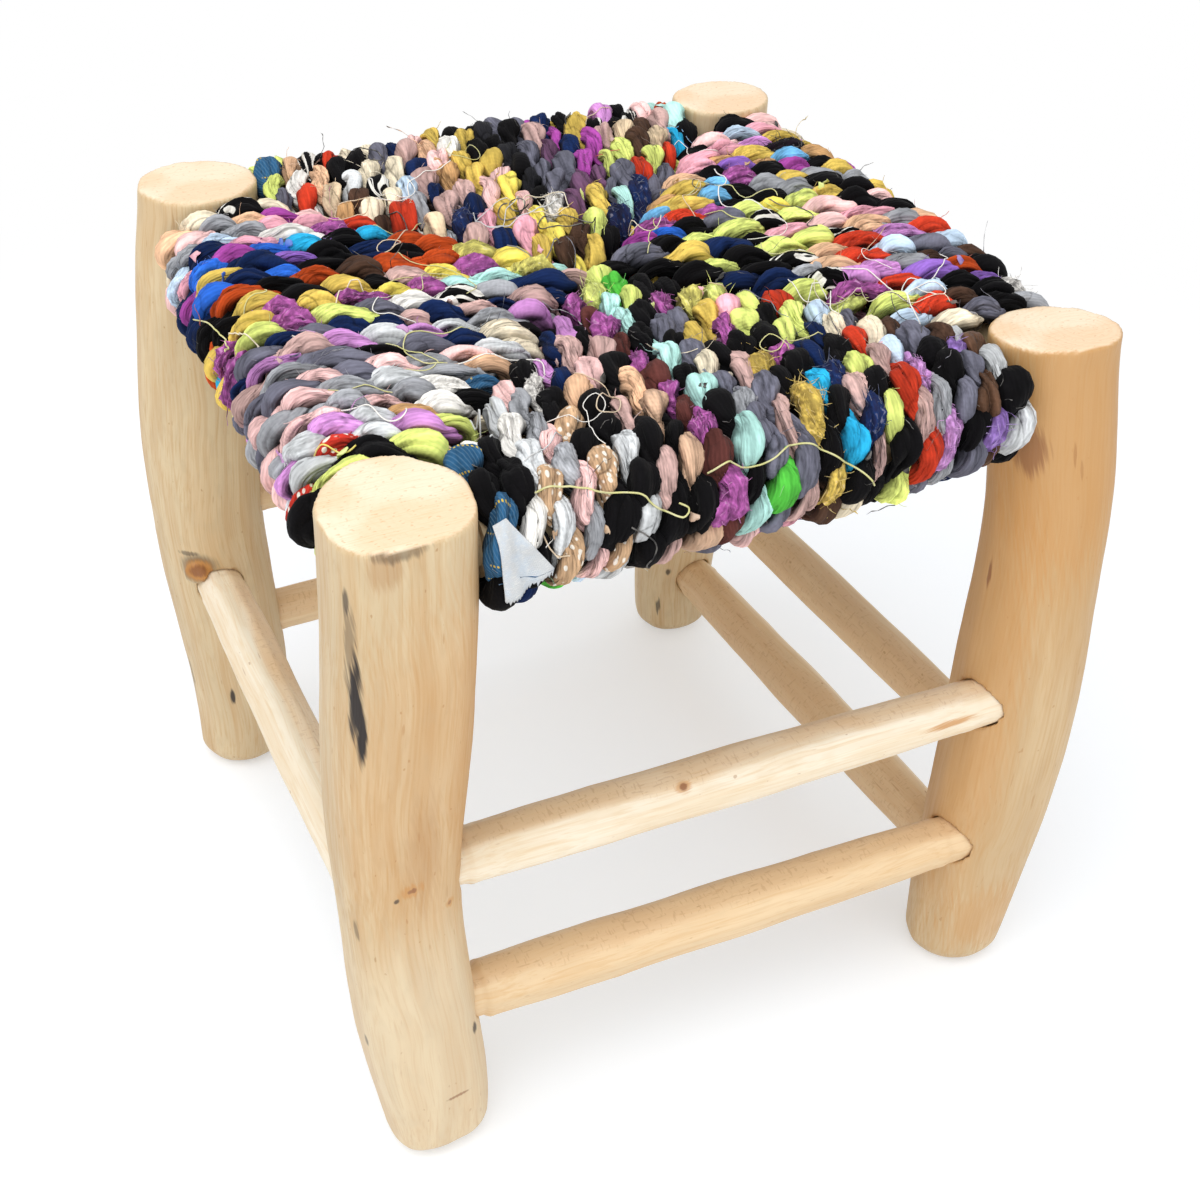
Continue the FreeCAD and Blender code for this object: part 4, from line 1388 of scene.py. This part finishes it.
class STOOL_OT_seat(Operator):
    """Weave the seat: each pass of rag rope over the four rails"""

    bl_idname = "stool.seat"
    bl_label = "Woven seat"

    def execute(self, context):
        rope, palette = context.scene.stool_rope, context.scene.stool_rags
        cloth, tree = rag_cloth_material(), rope_tree()
        for turn, side in enumerate(SIDES):
            chance = random.Random(rope.seed + turn)
            passes = cord_passes(side)
            patterns = WOVEN_RAGS[side]
            middle = sum((cord["on_rail"] for cord in passes), Vector()) / len(passes)
            lines = []
            for at, cord in enumerate(passes):
                share = (at + 0.5) / len(passes)
                cord["on_rail"] += (middle - cord["on_rail"]) * rope.draw_in
                points, ways = pass_line(cord, rope, share, chance)
                at_leg = at in (0, len(passes) - 1)
                walked = walked_along(points, chance.uniform(0.0, rope.lay), chance.uniform(*TWISTS))
                girth = rope.end_girth if at_leg else chance.uniform(*GIRTHS)
                under = patterns[at * 5 % len(patterns)]
                rags = pass_rags(patterns[at], under, points, walked, rope.lay, cord, palette, chance)
                lines.append({
                    "points": points, "ways": ways, "across": cord["across"], "cord": turn * 40.0 + at,
                    "walked": walked, "girth": girth, "rags": rags,
                })
            half = len(lines) // 2
            for half_number, part in zip(HALVES, (lines[:half], lines[half:])):
                name = f"rag_rope_{side}_{half_number}"
                piece = grown(lay_rope(name + "_wire", part), tree, rope_values(rope, cloth), name)
                finish_piece(piece, "rag_rope", "seat_cords_" + side)
        return {"FINISHED"}


# The buried runs are thinner and coarser than the passes
BURIED_ROPE = {"Ply Radius": 0.0030, "Swing Out": 0.0014, "Swing Side": 0.0016, "Step": 0.006, "Sides": 9}


class STOOL_OT_buried(Operator):
    """Lay the runs of rope inside the seat"""

    bl_idname = "stool.buried"
    bl_label = "Buried rope"

    def execute(self, context):
        rope, palette = context.scene.stool_rope, context.scene.stool_rags
        chance = random.Random(rope.seed + 50)
        cloth, tree = bpy.data.materials["rag_cloth"], bpy.data.node_groups["rag rope"]
        values = rope_values(rope, cloth)
        values.update(BURIED_ROPE)
        names = sorted(RAGS)
        for node in ("buried_runs_front_to_back", "buried_runs_side_to_side"):
            lines = []
            for at, points in enumerate(solids_of(node)):
                middle, direction, across, (start, end), _ = bar_of(points)
                level = (points[:, 2].min() + points[:, 2].max()) / 2
                runs = [start + (end - start) * step / BURIED_STEPS for step in range(BURIED_STEPS + 1)]
                spots = [Vector((*(middle + direction * run), level)) for run in runs]
                rags = {ply: rag_of(palette, chance.choice(names)) for ply in "ab"}
                lines.append({
                    "points": spots, "ways": [UP] * len(spots), "across": Vector((*across, 0.0)),
                    "cord": 300.0 + at, "walked": walked_along(spots, chance.uniform(0.0, rope.lay), 1.0),
                    "rags": [rags] * len(spots), "girth": 1.0,
                })
            piece = grown(lay_rope(node + "_wire", lines), tree, values, "rag_" + node)
            finish_piece(piece, "rag_rope", node)
        return {"FINISHED"}


def sown_on(net, given, density, seed):
    """Points sown on the cloth, and the way out at each."""
    seed = net.plus(given["Seed"], float(seed))
    sown = {"Mesh": given["Geometry"], "Density": density, "Seed": seed}
    return net.node("GeometryNodeDistributePointsOnFaces", sown, distribute_method="RANDOM").outputs


def grown_on(net, sown, shape, size, least, most, seed):
    """A shape on each sown point, leaning off the cloth any way round."""
    lean = {0: (least, 0.0, -math.pi), 1: (most, 0.0, math.pi), "Seed": seed}
    lean = net.node("FunctionNodeRandomValue", lean, data_type="FLOAT_VECTOR").outputs[0]
    lean = net.node("FunctionNodeEulerToRotation", {0: lean}).outputs[0]
    turn = {"Rotation": sown["Rotation"], "Rotate By": lean}
    turn = net.node("FunctionNodeRotateRotation", turn, rotation_space="LOCAL").outputs[0]
    placed = {"Points": sown["Points"], "Instance": shape, "Rotation": turn, "Scale": size}
    return net.realized(net.node("GeometryNodeInstanceOnPoints", placed).outputs[0])


def mate_coloured(net, geometry):
    """The geometry in the colour of the other rag."""
    return net.store(geometry, "rag", "FLOAT_COLOR", net.stored("mate", "FLOAT_COLOR"))


def rag_ends(net, given):
    """Torn ends of the other rag, folded flat on the cloth."""
    shown = net.ramp(net.stored("facing", "FLOAT"), -0.2, 0.3)
    side = net.ramp(net.stored("facing", "FLOAT"), 0.98, 0.7)
    sown = sown_on(net, given, net.times(given["Ends"], net.times(shown, side)), 21)
    leaf = net.node("GeometryNodeMeshUVSphere", {"Segments": 8, "Rings": 7, "Radius": 1.0}).outputs[0]
    parts = net.parts(net.node("GeometryNodeInputPosition").outputs[0])
    length_share = net.times_plus(parts[2], 0.5, 0.4)
    droop = net.times(net.math("POWER", net.larger(length_share, 0.0), 2.0), -0.9)
    flat = net.combine(parts[0], net.times_plus(parts[1], 0.34, droop), length_share)
    leaf = net.node("GeometryNodeSetPosition", {"Geometry": leaf, "Position": flat}).outputs[0]
    size = {0: (0.0009, 0.0009, 0.004), 1: (0.0022, 0.0018, 0.009), "Seed": 23}
    size = net.node("FunctionNodeRandomValue", size, data_type="FLOAT_VECTOR").outputs[0]
    ends = mate_coloured(net, grown_on(net, sown, leaf, size, 1.30, 1.55, 22))
    place = net.node("GeometryNodeInputPosition").outputs[0]
    return net.smooth(net.moved(ends, net.scaled(net.shifts(place, 260.0, 1.0), 0.0055)))


def hair_shape(net, points):
    """A thin bent hair, one unit long, that tapers to its tip."""
    line = net.node("GeometryNodeCurvePrimitiveLine", {"Start": (0.0, 0.0, -0.1), "End": (0.0, 0.0, 1.0)})
    line = net.node("GeometryNodeResampleCurve", {"Curve": line.outputs[0], "Count": points})
    share = net.node("GeometryNodeSplineParameter").outputs["Factor"]
    line = net.moved(line.outputs[0], net.combine(net.times(share, share, 0.45), 0.0, 0.0))
    ring = net.node("GeometryNodeCurvePrimitiveCircle", {"Resolution": 3, "Radius": 1.0}, mode="RADIUS")
    thin = net.times_plus(share, -0.045, 0.1)
    tube = {"Curve": line, "Profile Curve": ring.outputs[0], "Scale": thin, "Fill Caps": False}
    return net.node("GeometryNodeCurveToMesh", tube).outputs[0]


def fray_tree():
    """Short fibres off the rags, more of them on fuzzy and frayed ones, a few long threads and torn ends."""
    tree, net, given, output = geometry_tree("rag frays", {
        "Fray": "Float", "Thread": "Float", "Ends": "Float", "Fibre": "Float", "Seed": "Int",
        "Cloth": "Material",
    })
    kind = net.stored("kind", "FLOAT")
    shown = net.ramp(net.stored("facing", "FLOAT"), 0.1, 0.5)
    frayed = net.is_kind(kind, FRAYED)
    fuzzy = net.is_kind(kind, FUZZY)
    patches = net.ramp(net.noise(net.stored("cloth", "FLOAT_VECTOR"), 45.0, 1.0), 0.5, 0.72, 0.1, 2.6)
    shaggy = net.times_plus(frayed, 9.0, net.times(fuzzy, 7.0))
    dense = net.times(given["Fray"], net.plus(patches, shaggy), shown)
    few = net.times(given["Thread"], shown)
    tufts = net.times_plus(fuzzy, -0.42, net.times_plus(frayed, 0.3, 1.0))

    # Density, shortest and longest, thickness, least and most lean, points and seed of fibres, then threads
    sorts = (
        (dense, 0.0020, 0.0062, 8.5, 0.7, 1.45, 4, 0),
        (few, 0.008, 0.024, 10.0, 1.40, 1.57, 8, 9),
    )
    loose = net.node("GeometryNodeJoinGeometry")
    for density, low, high, thick, least, most, points, seed in sorts:
        sown = sown_on(net, given, density, seed)
        tall = {2: low, 3: high, "Seed": seed + 2}
        tall = net.node("FunctionNodeRandomValue", tall, data_type="FLOAT").outputs[1]
        wide = net.times(given["Fibre"], thick)
        size = net.combine(wide, wide, net.times(tall, tufts))
        hairs = grown_on(net, sown, hair_shape(net, points), size, least, most, seed + 1)
        place = net.node("GeometryNodeInputPosition").outputs[0]
        curl = net.scaled(net.shifts(place, 170.0, 1.0), 0.0045)
        if density is few:
            hairs = mate_coloured(net, hairs)
            curl = net.vector("ADD", curl, net.scaled(net.shifts(place, 70.0, 0.0), 0.007))
        net.put(loose.inputs[0], net.moved(hairs, curl))
    net.put(loose.inputs[0], rag_ends(net, given))
    net.put(output.inputs[0], net.dressed(loose.outputs[0], given["Cloth"]))
    return tree


def fibre_material():
    """Loose fibres in the colour of their rag."""
    material, net, shader = new_material("rag_fibre")
    rag = net.attribute("rag").outputs["Color"]
    place = net.node("ShaderNodeTexCoord").outputs["Object"]
    tone = net.ramp(net.noise(place, 260.0, 1.0), 0.3, 0.7, 0.0, 0.22)
    paint = net.mix(tone, rag, (0.9, 0.86, 0.8, 1.0))
    paint_shader(net, shader, paint, net.ramp(tone, 0.0, 0.3, 0.7, 0.9))
    return material


class STOOL_OT_frays(Operator):
    """Grow the loose fibres and threads on the woven rags"""

    bl_idname = "stool.frays"
    bl_label = "Frays"

    def execute(self, context):
        rope = context.scene.stool_rope
        tree, fibre = fray_tree(), fibre_material()
        for turn, side in enumerate(SIDES):
            for half in HALVES:
                values = {
                    "Fray": rope.fray, "Thread": rope.thread, "Ends": rope.ends, "Fibre": rope.fibre,
                    "Seed": rope.seed + 10 * turn + half, "Cloth": fibre,
                }
                woven = bpy.data.objects[f"rag_rope_{side}_{half}"]
                piece = grown(woven, tree, values, f"rag_frays_{side}_{half}", keep=True)
                finish_piece(piece, "rag_rope")
        return {"FINISHED"}


# Loose yarns: rag, face, thickness, then places along the rail and round it in degrees, or across the top
LAID_YARNS = (
    ("straw", "front", 1.0, (
        (-0.107, 61), (-0.095, 57), (-0.084, 47), (-0.068, 38), (-0.060, 23), (-0.0505, 12), (-0.047, 17),
        (-0.050, 22),
    )),
    ("straw", "front", 1.0, (
        (-0.035, 40), (-0.026, 44), (-0.019, 37), (-0.0075, 37), (0.005, 46), (0.015, 40), (0.025, 25),
        (0.036, 8), (0.0435, -10), (0.0465, -26),
    )),
    ("beige", "front", 0.8, ((-0.108, 24), (-0.107, 12), (-0.103, 0), (-0.099, 1))),
    ("black", "front", 0.8, ((-0.074, 16), (-0.062, -6), (-0.066, -22), (-0.058, -40))),
    ("straw", "left", 0.9, ((0.052, 16), (0.031, 33), (0.011, 37), (0.004, 32))),
    ("cream", "left", 0.8, ((0.017, 40), (0.005, 52), (-0.007, 59), (-0.016, 60))),
    ("straw", "left", 0.7, ((0.018, 60), (0.021, 78), (0.021, 91), (0.026, 93))),
    ("yellow", "left", 0.9, ((-0.096, 44), (-0.099, 58), (-0.107, 71), (-0.108, 81))),
    ("cream", "top", 0.8, ((-0.129, 0.006), (-0.123, 0.015), (-0.114, 0.018), (-0.110, 0.009))),
    ("pale_grey", "top", 0.9, ((-0.109, -0.099), (-0.107, -0.106), (-0.105, -0.115), (-0.110, -0.123))),
)
YARN_RAGS = ("cream", "white", "straw", "straw", "black", "white", "slate", "pale_grey", "beige")

# Corners of the torn rag end, the upper two then the lower two: place along the rail, degrees round it
SCRAP_CORNERS = np.array((((-0.1292, 41.0), (-0.1237, 44.0)), ((-0.1283, -18.0), (-0.1068, -3.0))))


def heights_over(skin, points, ways, missed):
    """How far out from each point a surface lies, or another height where it is missed."""
    heights = []
    for point, way in zip(points, ways):
        hit = skin.ray_cast(point + way * RAY_REACH, -way, 2 * RAY_REACH)
        heights.append(RAY_REACH - hit[3] if hit[0] is not None else missed)
    return heights


def draped(skin, points, ways, lift):
    """Points moved along their ways on to a surface, bridging its hollows as a taut yarn does."""
    heights = heights_over(skin, points, ways, 0.0)
    for _ in range(YARN_SLACK):
        bridged = [(before + after) / 2 for before, after in zip(heights, heights[2:])]
        heights[1:-1] = [max(own, bridge) for own, bridge in zip(heights[1:-1], bridged)]
    return [point + way * (height + lift) for point, way, height in zip(points, ways, heights)]


def sheet_heights(skin, points, ways, shape):
    """Heights of a stiff sheet over the weave, which bridges the hollows."""
    field = np.array(heights_over(skin, points, ways, -0.004)).reshape(shape)
    for _ in range(SCRAP_SLACK):
        padded = np.pad(field, 1, mode="edge")
        mean = (padded[:-2, 1:-1] + padded[2:, 1:-1] + padded[1:-1, :-2] + padded[1:-1, 2:]) / 4
        field = np.maximum(field, mean)
    return (field + SCRAP_LIFT).ravel()


def tube_of(points, radius):
    """Mesh of a round yarn along points."""
    curve = bpy.data.curves.new("yarn", "CURVE")
    curve.dimensions = "3D"
    curve.bevel_depth = radius
    curve.bevel_resolution = 1
    curve.use_fill_caps = True
    line = curve.splines.new("POLY")
    line.points.add(len(points) - 1)
    for knot, point in zip(line.points, points):
        knot.co = (*point, 1.0)
    shape = new_object("yarn_line", curve)
    tube = plain_mesh(shape)
    bpy.data.objects.remove(shape)
    return tube


def through(stations, count):
    """Values along a smooth line through stations."""
    listed = []
    last = len(stations) - 1
    for at in range(count):
        place = last * at / (count - 1)
        second = min(int(place), last - 1)
        share = place - second
        held = [min(max(second + step, 0), last) for step in (-1, 0, 1, 2)]
        around = [np.array(stations[index], dtype=float) for index in held]
        bend = (around[2] - around[0]) / 2, (around[3] - around[1]) / 2
        cube, square = share ** 3, share ** 2
        listed.append(
            (2 * cube - 3 * square + 1) * around[1] + (cube - 2 * square + share) * bend[0]
            + (3 * square - 2 * cube) * around[2] + (cube - square) * bend[1]
        )
    return listed


class STOOL_OT_ends(Operator):
    """Hang the torn rag end at the front and lay the loose yarns on the seat"""

    bl_idname = "stool.ends"
    bl_label = "Rag end and yarns"

    def execute(self, context):
        rope, palette = context.scene.stool_rope, context.scene.stool_rags
        self.rails = {}
        for side in ("front", "left"):
            low, high = (Vector(corner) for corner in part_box("seat_rail_" + side))
            self.rails[side] = (low + high) / 2
        shells = bmesh.new()
        for side in SIDES:
            for half in HALVES:
                shells.from_mesh(bpy.data.objects[f"rag_rope_{side}_{half}"].data)
        self.skin = BVHTree.FromBMesh(shells)
        shells.free()
        self.yarns(rope, palette)
        self.scrap(rope, palette)
        return {"FINISHED"}

    def on_seat(self, face, first, second):
        """Place on one face of the weave and the way out there."""
        if face == "top":
            return Vector((first, second, self.rails["front"].z + WEAVE_REACH)), UP
        turn = math.radians(second)
        rail = self.rails[face].copy()
        if face == "front":
            rail.x, way = first, Vector((0.0, -math.cos(turn), math.sin(turn)))
        else:
            rail.y, way = first, Vector((-math.cos(turn), 0.0, math.sin(turn)))
        return rail + way * WEAVE_REACH, way

    def yarns(self, rope, palette):
        """All loose yarns as one piece."""
        chance = random.Random(rope.seed + 90)
        laid = []
        for rag, face, thick, stations in LAID_YARNS:
            places = through(stations, YARN_STEPS * len(stations))
            spots = [self.on_seat(face, *place) for place in places]
            laid.append((rag, thick, draped(self.skin, *zip(*spots), rope.yarn_radius * 0.7)))
        laid += filter(None, [self.strewn(chance) for _ in range(rope.yarns)])
        spots, faces, paints = [], [], []
        for rag, thick, points in laid:
            tube = tube_of(points, rope.yarn_radius * thick)
            faces += [[len(spots) + corner for corner in face.vertices] for face in tube.polygons]
            paints += [(*getattr(palette, rag), 1.0)] * len(tube.vertices)
            spots += [point.co.copy() for point in tube.vertices]
        mesh = smooth_mesh("loose_yarns", spots, faces)
        note_points(mesh, "rag", "FLOAT_COLOR", paints)
        mesh.materials.append(bpy.data.materials["rag_fibre"])
        finish_piece(new_object("loose_yarns", mesh), "rag_rope")

    def strewn(self, chance):
        """Rag, thickness and points of a yarn strewn on the seat, or nothing where it is too short."""
        first, second = chance.uniform(-SEAT_EDGE, SEAT_EDGE), chance.uniform(-SEAT_EDGE, SEAT_EDGE)
        place = Vector((first, second, self.rails["front"].z + STREWN_HEIGHT))
        heading, curl = chance.uniform(0.0, math.tau), 0.0
        spots = []
        for _ in range(chance.randint(*STREWN_STEPS)):
            curl = STREWN_STIFF * curl + chance.uniform(-STREWN_CURL, STREWN_CURL)
            heading += curl
            place = place + Vector((math.cos(heading), math.sin(heading), 0.0)) * YARN_STEP
            off_middle = abs(place.x), abs(place.y)
            if max(off_middle) < STREWN_EDGE and min(off_middle) < STREWN_CORNER:
                spots.append(place)
        if len(spots) < STREWN_LEAST:
            return None
        thin = chance.uniform(0.45, 0.8)
        return chance.choice(YARN_RAGS), thin, draped(self.skin, spots, [UP] * len(spots), YARN_LIFT)

    def scrap(self, rope, palette):
        """Torn end of a white rag that hangs over the front beside the leg."""
        chance = random.Random(rope.seed + 70)
        rows, columns = SCRAP_ROWS, SCRAP_COLUMNS
        points, ways, flat = [], [], []
        torn = [chance.uniform(0.0, 4.0 + 5.0 * at / columns) * (at % 2) for at in range(columns + 1)]
        for row in range(rows + 1):
            down = row / rows
            left, right = SCRAP_CORNERS[0] * (1 - down) + SCRAP_CORNERS[1] * down
            for column in range(columns + 1):
                over = column / columns
                along, turn = left * (1 - over) + right * over
                turn -= down * down * (5.0 * math.sin(math.pi * over))
                if row == rows:
                    turn -= torn[column]
                point, way = self.on_seat("front", along, turn)
                points.append(point)
                ways.append(way)
                flat.append((over * rope.scrap_width, down * rope.scrap_length, 0.0))
        wide = columns + 1
        heights = sheet_heights(self.skin, points, ways, (rows + 1, wide))
        spots = [point + way * height for point, way, height in zip(points, ways, heights)]
        faces = [
            (at, at + wide, at + wide + 1, at + 1)
            for row in range(rows) for at in range(row * wide, row * wide + columns)
        ]
        mesh = smooth_mesh("torn_rag_end", spots, faces)
        note_points(mesh, "weave", "FLOAT_VECTOR", flat)
        sheet = new_object("torn_rag_end_flat", mesh)
        thick = sheet.modifiers.new("cloth", "SOLIDIFY")
        thick.thickness = rope.scrap_thick
        thick.offset = 1.0
        solid = plain_mesh(sheet)
        bpy.data.objects.remove(sheet)
        solid.materials.clear()
        solid.materials.append(scrap_cloth_material(palette))
        piece = new_object("torn_rag_end", solid)
        finish_piece(piece, "rag_rope")


def scrap_cloth_material(palette):
    """Thin white cotton with a plain weave, bluish and creased."""
    material, net, shader = new_material("scrap_cotton")
    place = net.attribute("weave").outputs["Vector"]
    parts = net.parts(place)
    warp = net.math("SINE", net.times(parts[0], 5200.0))
    weft = net.math("SINE", net.times(parts[1], 5200.0))
    weave = net.times(warp, weft)
    blotch = net.noise(place, 120.0, 2.0)
    threads = net.stretched(place, (260.0, 2200.0, 1.0), 1.0)
    grey, blue = (*palette.pale_grey, 1.0), (*palette.pale_blue, 1.0)
    paint = net.mix(net.ramp(blotch, 0.38, 0.66, 0.0, 0.35), grey, blue)
    paint = net.mix(net.ramp(threads, 0.5, 0.75, 0.0, 0.45), paint, (*palette.white, 1.0))
    paint = net.mix(net.ramp(weave, -1.0, 0.4, 0.08, 0.0), paint, (*palette.slate, 1.0))
    bump = net.node("ShaderNodeBump", {"Height": weave, "Strength": 0.35, "Distance": 0.0003})
    paint_shader(net, shader, paint, net.ramp(threads, 0.2, 0.8, 0.8, 0.92), bump)
    return material


# Stage

class STOOL_OT_stage(Operator):
    """Set the camera, the light and the floor"""

    bl_idname = "stool.stage"
    bl_label = "Stage"

    def execute(self, context):
        stage = context.scene.stool_stage
        context.scene.view_settings.view_transform = "Standard"
        self.camera(context, stage)
        self.light(context, stage)
        self.floor(stage)
        return {"FINISHED"}

    def camera(self, context, stage):
        """Camera at the viewing angle of the photograph."""
        around, lift = stage.azimuth, stage.elevation
        away = Vector((math.sin(around), -math.cos(around), 0.0))
        back = away * math.cos(lift) + UP * math.sin(lift)
        right = Vector((math.cos(around), math.sin(around), 0.0))
        above = back.cross(right)
        cosine, sine = math.cos(stage.roll), math.sin(stage.roll)
        right, above = right * cosine + above * sine, above * cosine - right * sine
        data = bpy.data.cameras.new("camera")
        data.lens = stage.lens
        data.sensor_width = SENSOR_WIDTH
        camera = new_object("camera", data)
        turned = Matrix((right, above, back)).transposed().to_4x4()
        camera.matrix_world = Matrix.Translation(stage.place) @ turned
        context.scene.camera = camera

    def light(self, context, stage):
        """Even light from all round, a soft box overhead and a weaker one in front."""
        world = bpy.data.worlds.new("studio")
        context.scene.world = world
        world.use_nodes = True
        net = Net(world.node_tree)
        world.node_tree.nodes.clear()
        seen = self.seen(net)
        strength = net.plus(net.times(seen, 1.0 - stage.sky), stage.sky)
        sky = net.node("ShaderNodeBackground", {"Color": WHITE, "Strength": strength})
        net.node("ShaderNodeOutputWorld", {"Surface": sky.outputs[0]})
        above, front = Vector((-0.75, -0.45, stage.lamp_height)), Vector((0.25, -2.1, 0.75))
        self.soft_box("soft_box_above", stage.lamp, stage.lamp_side, above, Vector((0.0, 0.0, 0.1)))
        self.soft_box("soft_box_front", stage.front, stage.lamp_side * 0.9, front, Vector((0.0, 0.0, 0.2)))

    def soft_box(self, name, power, side, place, target):
        """Square soft box that faces a target."""
        data = bpy.data.lights.new(name, "AREA")
        data.shape = "SQUARE"
        data.size = side
        data.energy = power
        lamp = new_object(name, data)
        turned = (place - target).to_track_quat("Z", "Y").to_matrix().to_4x4()
        lamp.matrix_world = Matrix.Translation(place) @ turned

    def seen(self, net):
        """One where the camera or a reflection looks, else zero."""
        path = net.node("ShaderNodeLightPath").outputs
        mirrored = net.larger(path["Is Glossy Ray"], path["Is Transmission Ray"])
        return net.larger(path["Is Camera Ray"], mirrored)

    def floor(self, stage):
        """White floor that keeps the shadow."""
        half = stage.floor_side / 2
        mesh = bpy.data.meshes.new("floor")
        corners = [(-half, -half, FLOOR_LEVEL), (half, -half, FLOOR_LEVEL), (half, half, FLOOR_LEVEL)]
        mesh.from_pydata([*corners, (-half, half, FLOOR_LEVEL)], [], [(0, 1, 2, 3)])
        floor = new_object("floor", mesh)
        material = bpy.data.materials.new("studio_floor")
        material.use_nodes = True
        material.node_tree.nodes.clear()
        net = Net(material.node_tree)
        seen = self.seen(net)
        matt = net.node("ShaderNodeBsdfDiffuse", {"Color": (*stage.floor_shade, 1.0)})
        glow = net.node("ShaderNodeEmission", {"Color": WHITE, "Strength": stage.floor_white})
        shown = net.node("ShaderNodeAddShader", {0: matt.outputs[0], 1: glow.outputs[0]})
        place = net.node("ShaderNodeTexCoord").outputs["Object"]
        far = net.ramp(net.vector("LENGTH", place), stage.shade_reach * 0.4, stage.shade_reach)
        clear = net.node("ShaderNodeEmission", {"Color": WHITE, "Strength": 1.0})
        shown = net.node("ShaderNodeMixShader", {0: far, 1: shown.outputs[0], 2: clear.outputs[0]})
        bounce = net.node("ShaderNodeBsdfDiffuse", {"Color": FLOOR_BOUNCE})
        both = net.node("ShaderNodeMixShader", {0: seen, 1: bounce.outputs[0], 2: shown.outputs[0]})
        net.node("ShaderNodeOutputMaterial", {"Surface": both.outputs[0]})
        mesh.materials.append(material)


class STOOL_PT_panel(Panel):
    """Panel that lists the steps and the settings"""

    bl_idname = "STOOL_PT_panel"
    bl_label = "Rag rope stool"
    bl_space_type = "VIEW_3D"
    bl_region_type = "UI"
    bl_category = "Stool"

    def draw(self, context):
        for step in STEPS:
            self.layout.operator(step.bl_idname)
        for group in GROUPS:
            held = getattr(context.scene, group)
            for name in held.__annotations__:
                self.layout.prop(held, name)


GROUPS = {
    "stool_rope": RagRope, "stool_rags": RagPalette, "stool_wood": WoodFinish, "stool_stage": StudioStage,
}
STEPS = (
    STOOL_OT_legs, STOOL_OT_rungs, STOOL_OT_rails, STOOL_OT_seat, STOOL_OT_buried, STOOL_OT_frays,
    STOOL_OT_ends, STOOL_OT_stage,
)


def register():
    """Register the settings, the steps and the panel."""
    for name, group in GROUPS.items():
        bpy.utils.register_class(group)
        setattr(bpy.types.Scene, name, PointerProperty(type=group))
    for made in (*STEPS, STOOL_PT_panel):
        bpy.utils.register_class(made)


def unregister():
    """Take the panel, the steps and the settings away."""
    for made in (STOOL_PT_panel, *STEPS):
        bpy.utils.unregister_class(made)
    for name, group in GROUPS.items():
        delattr(bpy.types.Scene, name)
        bpy.utils.unregister_class(group)


def main():
    """Build every piece."""
    register()
    for step in STEPS:
        family, name = step.bl_idname.split(".")
        getattr(getattr(bpy.ops, family), name)()


if __name__ == "__main__":
    main()
